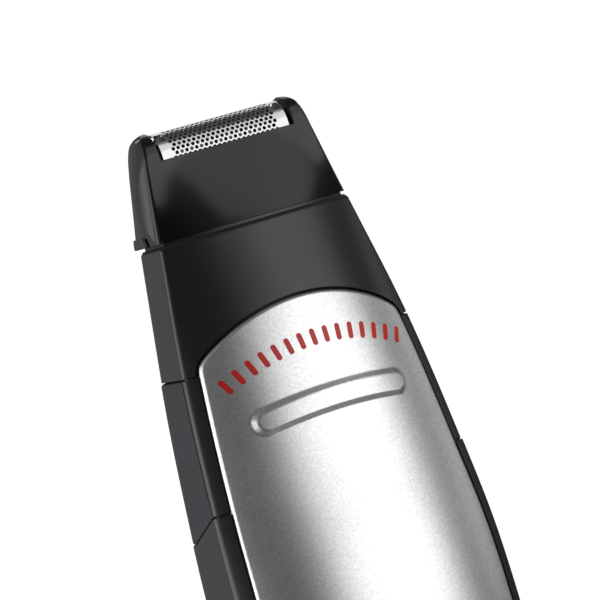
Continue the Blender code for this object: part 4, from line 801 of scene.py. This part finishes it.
baseForm = dict(foot=1.0 * mm, lip=0.22 * mm, floor=2.4 * mm, inletGap=0.15 * mm, screwGap=0.25 * mm,
                holeZ=np.array([-1, 9]) * mm)


def makeBase():
    # skirt with a rounded foot, a floor, and holes for the inlet and the screws cut afterwards
    form = baseForm
    t = allRound()
    top = seam["base"] - seam["gap"] / 2
    away, drop = roundProfile(form["foot"], 9)
    rings = [skin(t, a, d) for a, d in zip(away, drop)]
    rings += [skin(t, z, 0.0) for z in np.linspace(away[-1], top - form["lip"], 8)[1:]]
    lip, inset = roundProfile(form["lip"])
    rings += [skin(t, top - a, d) for a, d in zip(lip[::-1], inset[::-1])]
    rings += [skin(t, top, handleForm["wall"]), skin(t, form["floor"], handleForm["wall"])]
    a, b = low("inlet_housing"), high("inlet_housing")
    middle = np.array(((a + b) / 2)[:2])
    inside, foot = (form["floor"], handleForm["wall"]), (0.0, form["foot"])
    for share, level in ((0.6, inside), (0.25, inside), (0.25, foot), (0.6, foot)):
        ring = skin(t, *level)
        ring[:, :2] = middle + (ring[:, :2] - middle) * share
        rings.append(ring)
    base = makePiece("baseShell", loopSkin(rings), "handle", "satin_black", ["base_cap"])
    gap, holeZ = form["inletGap"], form["holeZ"]
    inlet = boxSolid("inletHole", (a.x - gap, b.x + gap), (a.y - gap, b.y + gap), holeZ)
    combine(base, inlet)
    for name in ("base_screw_right", "base_screw_left"):
        p, q = low(name), high(name)
        centre = ((p.x + q.x) / 2, (p.y + q.y) / 2)
        reach = (q.x - p.x) / 2 + form["screwGap"]
        profile = [(0, holeZ[0]), (reach, holeZ[0]), (reach, holeZ[1]), (0, holeZ[1])]
        combine(base, turnedSolid("screwHole", profile, centre, 48))
    return base


# grips

gripForm = dict(first=1.075, last=2.75, thickness=0.9 * mm, pocket=1.0 * mm, edgeRound=0.32 * mm,
                sideGap=0.016, proud=0.1 * mm, stepLength=14.7 * mm)
rearForm = dict(first=2.35, bottom=low("rear_grip").z, top=high("rear_grip").z, thickness=0.9 * mm,
                proud=0.6 * mm, edgeRound=0.5 * mm, ribs=22, ribDepth=0.22 * mm, ribFade=4 * mm,
                stepLength=18 * mm)


def pillow(along, across, radius):
    # drop of a surface whose border is rounded, from the distances to its two nearest edges
    a = radius - np.minimum(along, radius)
    b = radius - np.minimum(across, radius)
    return radius - np.sqrt(np.clip(radius**2 - a**2 - b**2, 0, None))


def makeGrip(side, name, node):
    # a slab on the handle's side between the two seams, with rounded borders
    form = gripForm
    t = edgeSteps(form["first"], form["last"], 80, 0.03, 7)[:, None]
    if side < 0:
        t = 6 - t
    bottom, top = lowerSeam(t) + seam["gap"] / 2, seam["upper"] - seam["gap"] / 2
    z = bottom + edgeSteps(0, 1, 50, 0.03, 7)[None, :] * (top - bottom)
    fromEnd = np.minimum(z - bottom, top - z)
    fromSide = np.minimum(np.abs(t - t[0, 0]), np.abs(t - t[-1, 0])) * form["stepLength"]
    outer = skin(t, z, pillow(fromEnd, fromSide, form["edgeRound"]) - form["proud"])
    return makePiece(name, closedPatch(outer, skin(t, z, form["thickness"])), "handle", "soft_grip", [node])


def makeRearGrip():
    # a raised pad with shallow ribs across it
    form = rearForm
    t = edgeSteps(form["first"], 6 - form["first"], 90, 0.03, 7)[:, None]
    z = edgeSteps(form["bottom"], form["top"], 340, 0.012, 7)[None, :]
    fromEnd = np.minimum(z - form["bottom"], form["top"] - z)
    fromSide = np.minimum(t - form["first"], 6 - form["first"] - t) * form["stepLength"]
    drop = pillow(fromEnd, fromSide, form["edgeRound"])
    share = (z - form["bottom"]) / (form["top"] - form["bottom"])
    wave = np.cos(2 * math.pi * form["ribs"] * share) * 0.5 - 0.5
    fade = np.clip(np.minimum(fromEnd / form["ribFade"], fromSide / form["ribFade"]), 0, 1) ** 0.7
    outer = skin(t, z, -form["proud"] + drop + form["ribDepth"] * fade * -wave)
    shape = closedPatch(outer, skin(t + 0 * z, z + 0 * t, form["thickness"]))
    return makePiece("rearGrip", shape, "handle", "soft_grip", ["rear_grip"])


makePanel()
makeNeck()
makeMid()
makeLower()
makeBase()
makeGrip(1, "gripRight", "grip_right")
makeGrip(-1, "gripLeft", "grip_left")
makeRearGrip()
print("handle shells ready")


# head

headForm = dict(
    halfWidth=15.4 * mm, taper=0.169, bulge=1.0 * mm, cheekThickness=1.6 * mm, cornerRadius=1.3 * mm,
    topRadius=4.45 * mm, halfDepth=5.5 * mm, crown=4.8 * mm, coverThickness=1.2 * mm, coverLip=0.45 * mm,
    coverTop=high("head_front_cover").z, bottom=seam["head"] + seam["headGap"] / 2,
    windowHalf=10.75 * mm, rimRound=0.12 * mm, innerRound=0.28 * mm, cornerRound=0.5 * mm,
    notchX=np.array([-0.7, 2.5]) * mm, notchY=np.array([-1.9, -0.7]) * mm, notchZ=np.array([-1.0, 1.35]) * mm,
    lipProud=0.25 * mm, lipHeight=1.6 * mm, lipRound=0.15 * mm, lipDepth=0.5 * mm,
)
headForm["arcZ"] = seam["top"] - headForm["topRadius"]


def sideLine(z):
    return headForm["halfWidth"] - headForm["taper"] * (z - seam["head"])


def sideX(z):
    # leaning side edge with a rounded top corner
    above = np.clip(z - (seam["top"] - headForm["cornerRadius"]), 0, headForm["cornerRadius"])
    return sideLine(z) - (headForm["cornerRadius"] - np.sqrt(headForm["cornerRadius"] ** 2 - above**2))


def headDepth(z):
    share = np.clip((z - seam["head"]) / (headForm["arcZ"] - seam["head"]), 0, 1)
    return headForm["halfDepth"] + (headForm["topRadius"] - headForm["halfDepth"]) * share**0.8


def coverCrown(z):
    share = (z - seam["head"]) / (headForm["coverTop"] - seam["head"])
    return headForm["crown"] * np.clip(1 - share, 0, 1) ** 1.15 + 0.2 * mm


def coverReach(x, z):
    return headDepth(z) + coverCrown(z) * (1 - (x / sideX(z)) ** 2)


def makeCover(side, name, node):
    # a curved cover between the cheeks, thinner toward the foil, with rounded rims
    form = headForm
    u = edgeSteps(-1, 1, 90, 0.012, 7)[:, None]
    share = edgeSteps(0, 1, 60, 0.03, 8)[None, :]
    z = form["bottom"] + share * (form["coverTop"] - form["bottom"])
    half = sideLine(z) - form["cheekThickness"]
    x = u * half
    reach = coverReach(x, z)
    fromTop = np.where(np.abs(x) < form["windowHalf"], form["coverTop"] - z, form["rimRound"])
    drop = pillow(np.minimum(z - form["bottom"], fromTop), form["rimRound"] + 0 * x, form["rimRound"])
    thickness = form["coverThickness"] + (form["coverLip"] - form["coverThickness"]) * share
    outer = joined(x, driveY + side * (reach - drop), z + 0 * x)
    inner = joined(x, driveY + side * (reach - thickness), z + 0 * x)
    return makePiece(name, closedPatch(outer, inner), "head", "gloss_black", [node])


def cheekOutline(count=160):
    # the end wall in y and z: leaning sides and a half-round top, even along its length
    z = np.linspace(headForm["bottom"], headForm["arcZ"], 120)
    turn = np.linspace(0, math.pi, 120)[1:-1]
    right = joined(headDepth(z), z)
    arc = joined(headForm["topRadius"] * np.cos(turn),
                    headForm["arcZ"] + headForm["topRadius"] * np.sin(turn))
    return evenPath(np.concatenate([right, arc, (right * [-1, 1])[::-1]]), count)[0]


def makeCheek(side, name, node):
    # rings out along the rim, round the corner, then over the bulged side face
    form = headForm
    edge = cheekOutline()
    z = edge[:, 1]
    held = np.minimum(z, form["arcZ"])
    middleZ = (form["bottom"] + form["arcZ"]) / 2
    outX = sideX(z)
    shoulder = np.minimum(form["windowHalf"], outX - 0.25 * mm)
    inX = np.where(z > form["coverTop"] - 0.5 * mm, shoulder, sideLine(z) - form["cheekThickness"])

    def rimRing(x, sink):
        # the rim follows the covers' crown and shrinks toward the arc's centre by sink
        reach = coverReach(x, held) - np.where(z < form["coverTop"] + 0.05 * mm, 0.015 * mm, 0.0)
        swell = reach / headDepth(held) * (1 - sink / form["topRadius"])
        above = form["arcZ"] + (z - form["arcZ"]) * (1 - sink / form["topRadius"])
        height = np.where(z > form["arcZ"], above, z)
        return joined(side * x, driveY + edge[:, 0] * swell, height)

    rings = []
    for share in (0.02, 0.5):
        row = rimRing(inX, 0.0)
        row[:, 1] = driveY + (row[:, 1] - driveY) * share
        row[:, 2] = middleZ + (row[:, 2] - middleZ) * share
        rings.append(row)
    high = np.clip((z - form["coverTop"]) / (0.3 * mm), 0, 1)
    for turn in np.linspace(0, math.pi / 2, 5):
        a, d = form["innerRound"] * (1 - math.cos(turn)), form["innerRound"] * (1 - math.sin(turn))
        rings.append(rimRing(inX + a, d * high))
    corner = form["cornerRound"]
    rimStart = inX + form["innerRound"]
    for share in np.linspace(0, 1, 7)[1:-1]:
        rings.append(rimRing(rimStart + share * (outX - corner - rimStart), 0.0))
    for turn in np.linspace(0, math.pi / 2, 8):
        rings.append(rimRing(outX - corner * (1 - math.sin(turn)), corner * (1 - math.cos(turn))))
    last = rings[-1]
    for share in np.linspace(1, 0.02, 30)[1:]:
        height = middleZ + (last[:, 2] - middleZ) * share
        x = sideX(height) + form["bulge"] * (1 - share**2) * (1 - 0.35 * share**6)
        rings.append(joined(side * x, driveY + (last[:, 1] - driveY) * share, height))
    cheek = makePiece(name, cappedRings(np.stack(rings)), "head", "satin_black", [node],
                      others=["satin_black", "gloss_black"])
    # a pocket at the lower edge of the side face
    notch = boxSolid("cheekNotch", side * (form["halfWidth"] + form["notchX"]), driveY + form["notchY"],
                     form["bottom"] + form["notchZ"])
    combine(cheek, notch)
    # front and rear faces of the rim take the gloss of the covers
    mesh = cheek.data
    normals = np.empty(3 * len(mesh.polygons))
    mesh.polygons.foreach_get("normal", normals)
    normals = normals.reshape(-1, 3)
    glossy = np.abs(normals[:, 0]) < 0.5
    mesh.polygons.foreach_set("material_index", glossy.astype(np.int32))
    return cheek


def makeLip(side, name):
    # a raised band along the foot of a cheek, behind the pocket
    form = headForm
    y = edgeSteps(-0.6 * mm, form["halfDepth"] - 0.35 * mm, 24, 0.06, 6)[:, None]
    z = edgeSteps(form["bottom"] + 0.02 * mm, form["bottom"] + form["lipHeight"], 10, 0.12, 6)[None, :]
    y, z = np.broadcast_arrays(y, z)
    middleZ = (form["bottom"] + form["arcZ"]) / 2
    share = np.maximum(np.abs(y) / headDepth(z), np.abs(z - middleZ) / (middleZ - form["bottom"]))
    x = sideX(z) + form["bulge"] * (1 - share**2)
    fromEnd = np.minimum(z - z[0, 0], z[0, -1] - z)
    fromSide = np.minimum(y - y[0, 0], y[-1, 0] - y)
    outer = joined(side * (x + form["lipProud"] - pillow(fromEnd, fromSide, form["lipRound"])), driveY + y, z)
    inner = joined(side * (x - form["lipDepth"]), driveY + y, z)
    return makePiece(name, closedPatch(outer, inner), "head", "satin_black")


# perforated foil: brick-set cells with round holes, laid flat and then wrapped over the half round
foilForm = dict(
    halfLength=high("shaver_foil").x,
    radius=(high("shaver_foil").y - low("shaver_foil").y) / 2,
    skirtZ=low("shaver_foil").z,
    crest=high("shaver_foil").z,
    thickness=0.09 * mm,
    pitch=0.79 * mm, rowPitch=0.655 * mm, holeRadius=0.3 * mm, perRow=22, rows=21,
    slotFromCrest=2.62 * mm, slotHalfWidth=0.98 * mm, slotMargin=0.13 * mm,
)


def makeFoil():
    form = foilForm
    # twelve rim points of one cell about its middle, and the hole point that each faces
    rim = np.array([[1, -1], [1, 0], [1, 1], [0.5, 1], [0, 1], [-0.5, 1], [-1, 1], [-1, 0], [-1, -1],
                    [-0.5, -1], [0, -1], [0.5, -1]]) * [form["pitch"] / 2, form["rowPitch"] / 2]
    turn = np.arange(12) * math.pi / 6 - math.atan2(1, 1)
    hole = form["holeRadius"] * joined(np.cos(turn), np.sin(turn))
    axisZ = form["crest"] - form["radius"]
    skirt = axisZ - form["skirtZ"]
    total = 2 * skirt + math.pi * form["radius"]
    fieldHalf = form["perRow"] * form["pitch"] / 2
    fieldStart = total / 2 - form["rows"] * form["rowPitch"] / 2
    flat = []
    faces = []
    count = 0

    def addGrid(xs, ss, keep=None):
        nonlocal count
        grid = np.stack(np.meshgrid(xs, ss, indexing="ij"), axis=-1).reshape(-1, 2)
        block = gridFaces(len(xs), len(ss)) + count
        if keep is not None:
            middle = grid[gridFaces(len(xs), len(ss))].mean(1)
            block = block[keep(middle)]
        flat.append(grid)
        faces.append(block)
        count += len(grid)

    for row in range(form["rows"]):
        offset = 0.5 if row % 2 else 0.0
        cells = form["perRow"] - (1 if row % 2 else 0)
        s = fieldStart + (row + 0.5) * form["rowPitch"]
        x = -fieldHalf + (np.arange(cells) + 0.5 + offset) * form["pitch"]
        centre = joined(x, 0 * x + s)
        outer = (centre[:, None, :] + rim[None]).reshape(-1, 2)
        inner = (centre[:, None, :] + hole[None]).reshape(-1, 2)
        k = np.arange(12)
        base = count + 12 * np.arange(cells)[:, None]
        shift = 12 * cells
        quads = joined(base + k, base + (k + 1) % 12, base + (k + 1) % 12 + shift, base + k + shift)
        flat += [outer, inner]
        faces.append(quads.reshape(-1, 4))
        count += 24 * cells
        if row % 2:
            for end in (-1, 1):
                a = end * fieldHalf
                b = end * (fieldHalf - form["pitch"] / 2)
                xs = np.sort([a, (a + b) / 2, b])
                ss = s + np.array([-0.5, 0, 0.5]) * form["rowPitch"]
                addGrid(xs, ss)
    fieldS = fieldStart + np.arange(2 * form["rows"] + 1) * form["rowPitch"] / 2
    marginS = np.concatenate([np.linspace(0, fieldStart, 13)[:-1], fieldS,
                              np.linspace(fieldS[-1], total, 13)[1:]])
    fieldX = -fieldHalf + np.arange(4 * form["perRow"] + 1) * form["pitch"] / 4
    addGrid(fieldX, marginS[:13])
    addGrid(fieldX, marginS[-13:])

    def outsideSlot(middle):
        x, s = np.abs(middle[:, 0]), np.abs(middle[:, 1] - total / 2)
        along = (x > fieldHalf + form["slotMargin"]) & (x < form["halfLength"] - form["slotMargin"])
        return ~(along & (np.abs(s - form["slotFromCrest"]) < form["slotHalfWidth"]))

    for end in (-1, 1):
        xs = np.sort(end * np.linspace(fieldHalf, form["halfLength"], 11))
        addGrid(xs, marginS, outsideSlot)
    flat = np.concatenate(flat)
    middle, faces = weld(np.concatenate([flat, 0 * flat[:, :1]], axis=1), faces)
    flat = middle[:, :2]
    quads = np.concatenate([f for f in faces if f.shape[1] == 4])
    # a border edge belongs to one face only
    edges = np.concatenate([quads[:, [k, (k + 1) % 4]] for k in range(4)])
    keys = np.sort(edges, axis=1)
    _, index, times = np.unique(keys, axis=0, return_inverse=True, return_counts=True)
    border = edges[times[index.reshape(-1)] == 1]
    lift = len(flat)

    def wrap(radius):
        s = flat[:, 1]
        turn = np.clip((s - skirt) / form["radius"], 0, math.pi)
        straight = np.where(s < skirt, s - skirt, np.where(s > total - skirt, total - skirt - s, 0))
        y = driveY - radius * np.cos(turn)
        z = axisZ + radius * np.sin(turn) + straight
        return joined(flat[:, 0], y, z)

    points = np.concatenate([wrap(form["radius"]), wrap(form["radius"] - form["thickness"])])
    walls = joined(border[:, 1], border[:, 0], border[:, 0] + lift, border[:, 1] + lift)
    sheet = makePiece("foilSheet", (points, [quads, quads[:, ::-1] + lift, walls]), "head", "foil_steel",
                      ["shaver_foil"], 50, ["foil_steel", "blade_steel"])
    # painted shade: the foil's underside and hole walls take the darker blade steel so that the holes read
    # dark, though the sheet is one bright steel
    within = np.arange(len(sheet.data.polygons)) >= len(quads)
    sheet.data.polygons.foreach_set("material_index", within.astype(np.int32))
    return sheet


# blade springs: a wire carried along a helix whose pitch is closed at both ends
springForm = dict(turns=4, wire=0.17 * mm, sides=10, steps=40, travel=0.8 * mm)


def makeSpring(name, node):
    form = springForm
    a, b = low(node), high(node)
    middle, radius = (a + b) / 2, (b.x - a.x) / 2 - form["wire"]
    bottom, top = a.z + form["wire"], b.z - form["wire"]
    share = np.linspace(0, 1, form["turns"] * form["steps"] + 1)
    turn = 2 * math.pi * form["turns"] * share
    rise = np.clip((share * form["turns"] - 0.6) / (form["turns"] - 1.2), 0, 1)
    out = joined(np.cos(turn), np.sin(turn), 0 * turn)
    line = np.array([middle.x, middle.y, 0]) + radius * out
    line[:, 2] = bottom + (top - bottom) * rise
    around = fullTurn(form["sides"])
    across, up = joined(0, 0, np.cos(around)), joined(0, 0, np.sin(around))
    ring = across[None, :, 2:] * out[:, None, :] + up
    tube = line[:, None, :] + form["wire"] * ring
    spring = makePiece(name, cappedRings(tube), "cutter_drive", "motor_steel", [node])
    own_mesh(spring)
    return spring


makeSpring("bladeSpringRight", "blade_spring_right")
makeSpring("bladeSpringLeft", "blade_spring_left")
makeCover(-1, "headFrontCover", "head_front_cover")
makeCover(1, "headRearCover", "head_rear_cover")
makeCheek(1, "headCheekRight", "head_cheek_right")
makeCheek(-1, "headCheekLeft", "head_cheek_left")
makeLip(1, "cheekLipRight")
makeLip(-1, "cheekLipLeft")
makeFoil()
print("head ready")


# red printed row on the panel: plain upright pips along an arch
printForm = dict(count=15, halfSpan=13.9 * mm, middle=seam["head"] - 18.9 * mm, sag=3.4 * mm,
                 halfHeight=1.25 * mm, halfWidth=0.4 * mm, lift=0.03 * mm, thickness=0.05 * mm)


def makePip(k):
    # a rounded bar that lies on the panel, turned to stand across the arch
    form = printForm
    share = 2 * k / (form["count"] - 1) - 1
    x0 = share * form["halfSpan"]
    z0 = form["middle"] - form["sag"] * share**2
    tilt = math.atan(2 * form["sag"] * share / form["halfSpan"])
    turn = fullTurn(48)
    rings = []
    for scale in (1.0, 0.5, 0.02):
        across = form["halfWidth"] * scale * np.cos(turn)
        straight = np.sign(np.sin(turn)) * (form["halfHeight"] - form["halfWidth"]) * scale
        along = form["halfWidth"] * scale * np.sin(turn) + straight
        x = x0 + across * math.cos(tilt) + along * math.sin(tilt)
        z = z0 - across * math.sin(tilt) + along * math.cos(tilt)
        rings.append((x, z))
    outer = [joined(x, frontY(x, z) - panelForm["proud"] - form["lift"], z) for x, z in rings]
    inner = [ring + [0, form["thickness"], 0] for ring in outer[::-1]]
    return loopSkin(outer + inner)


def makePrint():
    for k in range(printForm["count"]):
        makePiece(f"printPip{k + 1}", makePip(k), "handle", "lead_red", others=["red_print"])


makePrint()
print("print ready")


# camera, lights and floor

cameraForm = dict(yaw=20.10, pitch=1.49, roll=-16.29, distance=491.4 * mm, lens=196.28,
                  target=(5.61 * mm, 5.0 * mm, 128.71 * mm))


def makeCamera():
    yaw, pitch, roll = (math.radians(cameraForm[key]) for key in ("yaw", "pitch", "roll"))
    away = Vector((-math.sin(yaw) * math.cos(pitch), -math.cos(yaw) * math.cos(pitch), math.sin(pitch)))
    ahead = -away
    right = ahead.cross(Vector((0, 0, 1))).normalized()
    up = right.cross(ahead)
    turnedRight = math.cos(roll) * right + math.sin(roll) * up
    turnedUp = -math.sin(roll) * right + math.cos(roll) * up
    data = bpy.data.cameras.new("studioCamera")
    data.lens = cameraForm["lens"]
    data.sensor_width = 36
    data.clip_start = 0.01
    camera = addObject("studioCamera", data)
    place = Vector(cameraForm["target"]) + away * cameraForm["distance"]
    turn = Matrix((turnedRight, turnedUp, away)).transposed().to_4x4()
    camera.matrix_world = Matrix.Translation(place) @ turn
    bpy.context.scene.camera = camera


def softBox(name, place, aim, width, height, glow):
    # power that gives the panel the wanted brightness: pi times area times glow
    data = bpy.data.lights.new(name, "AREA")
    data.shape = "RECTANGLE"
    data.size, data.size_y = width, height
    data.energy = math.pi * width * height * glow
    light = addObject(name, data)
    light.location = place
    light.rotation_euler = (Vector(aim) - Vector(place)).to_track_quat("-Z", "Y").to_euler()


# name, place, aim, width, height, brightness
softBoxes = [
    ("frontBox", (0.28, -0.749, 0.15), (0, 0, 0.11), 1.25, 0.85, 1.32),
    ("headBox", (0.36, -0.45, 0.70), (0, 0, 0.14), 0.75, 0.45, 0.95),
    ("leftBox", (-0.732, 0.238, 0.14), (0, 0, 0.11), 0.48, 0.6, 2.2),
    ("rightBox", (0.764, 0.094, 0.16), (0, 0, 0.11), 0.12, 0.4, 1.1),
    ("backBox", (0.30, 0.62, 0.62), (0, 0, 0.14), 0.6, 0.5, 1.0),
]
# each flag: degrees to the right of the front, cosines where it is full and where it ends, least light left
darkFlags = [(-48, 0.85, 0.45, 0.12), (115, 0.85, 0.35, 0.12)]


def makeStudio():
    turn = fullTurn(96)
    radius, dimRoom, eyeLevel = 0.055, (0.1, 0.1, 0.105, 1), (0.33, 0.33, 0.345, 1)
    mesh = bpy.data.meshes.new("paleFloor")
    rim = joined(radius * np.cos(turn), radius * np.sin(turn), 0 * turn - 0.0004)
    mesh.from_pydata(rim.tolist(), [], [list(range(96))])
    floor = addObject("paleFloor", mesh)
    mesh.materials.append(plastic("pale floor", (0.5, 0.5, 0.5), 0.6, 300.0, 0.02, 0.05, 0.0))
    world = bpy.data.worlds.new("studio")
    world.use_nodes = True
    tree = world.node_tree
    link, back = tree.links.new, tree.nodes["Background"]
    # dim room: lighter at eye level than overhead or underfoot
    place = addNode(tree, "ShaderNodeTexCoord")
    split = addNode(tree, "ShaderNodeSeparateXYZ")
    link(place.outputs["Generated"], split.inputs[0])
    ramp = addNode(tree, "ShaderNodeValToRGB")
    stops = ramp.color_ramp.elements
    stops[0].color = stops[1].color = dimRoom
    stops.new(0.5).color = eyeLevel
    link(mathNode(tree, "MULTIPLY_ADD", split.outputs[2], 0.5, 0.5), ramp.inputs[0])
    link(ramp.outputs[0], back.inputs["Color"])
    # dark flags beside the object take light out of the room near their directions
    level = None
    for turn, near, far, least in darkFlags:
        away = math.radians(turn)
        towards = mathNode(tree, "MULTIPLY_ADD", split.outputs[0], math.sin(away),
                           mathNode(tree, "MULTIPLY", split.outputs[1], -math.cos(away)))
        shade = addNode(tree, "ShaderNodeMapRange", interpolation_type="SMOOTHSTEP")
        link(towards, shade.inputs["Value"])
        for key, value in (("From Min", far), ("From Max", near), ("To Min", 1.0), ("To Max", least)):
            shade.inputs[key].default_value = value
        level = shade.outputs[0] if level is None else mathNode(tree, "MULTIPLY", level, shade.outputs[0])
    link(level, back.inputs["Strength"])
    bright = addNode(tree, "ShaderNodeBackground")
    bright.inputs["Color"].default_value = (1, 1, 1, 1)
    bright.inputs["Strength"].default_value = 1.05
    path = addNode(tree, "ShaderNodeLightPath")
    mix = addNode(tree, "ShaderNodeMixShader")
    link(path.outputs["Is Camera Ray"], mix.inputs[0])
    link(back.outputs[0], mix.inputs[1])
    link(bright.outputs[0], mix.inputs[2])
    link(mix.outputs[0], tree.nodes["World Output"].inputs[0])
    bpy.context.scene.world = world
    for values in softBoxes:
        softBox(*values)


makeCamera()
makeStudio()
bpy.context.scene.view_settings.view_transform = "Standard"
bpy.context.scene.view_settings.look = "None"
print("studio ready")
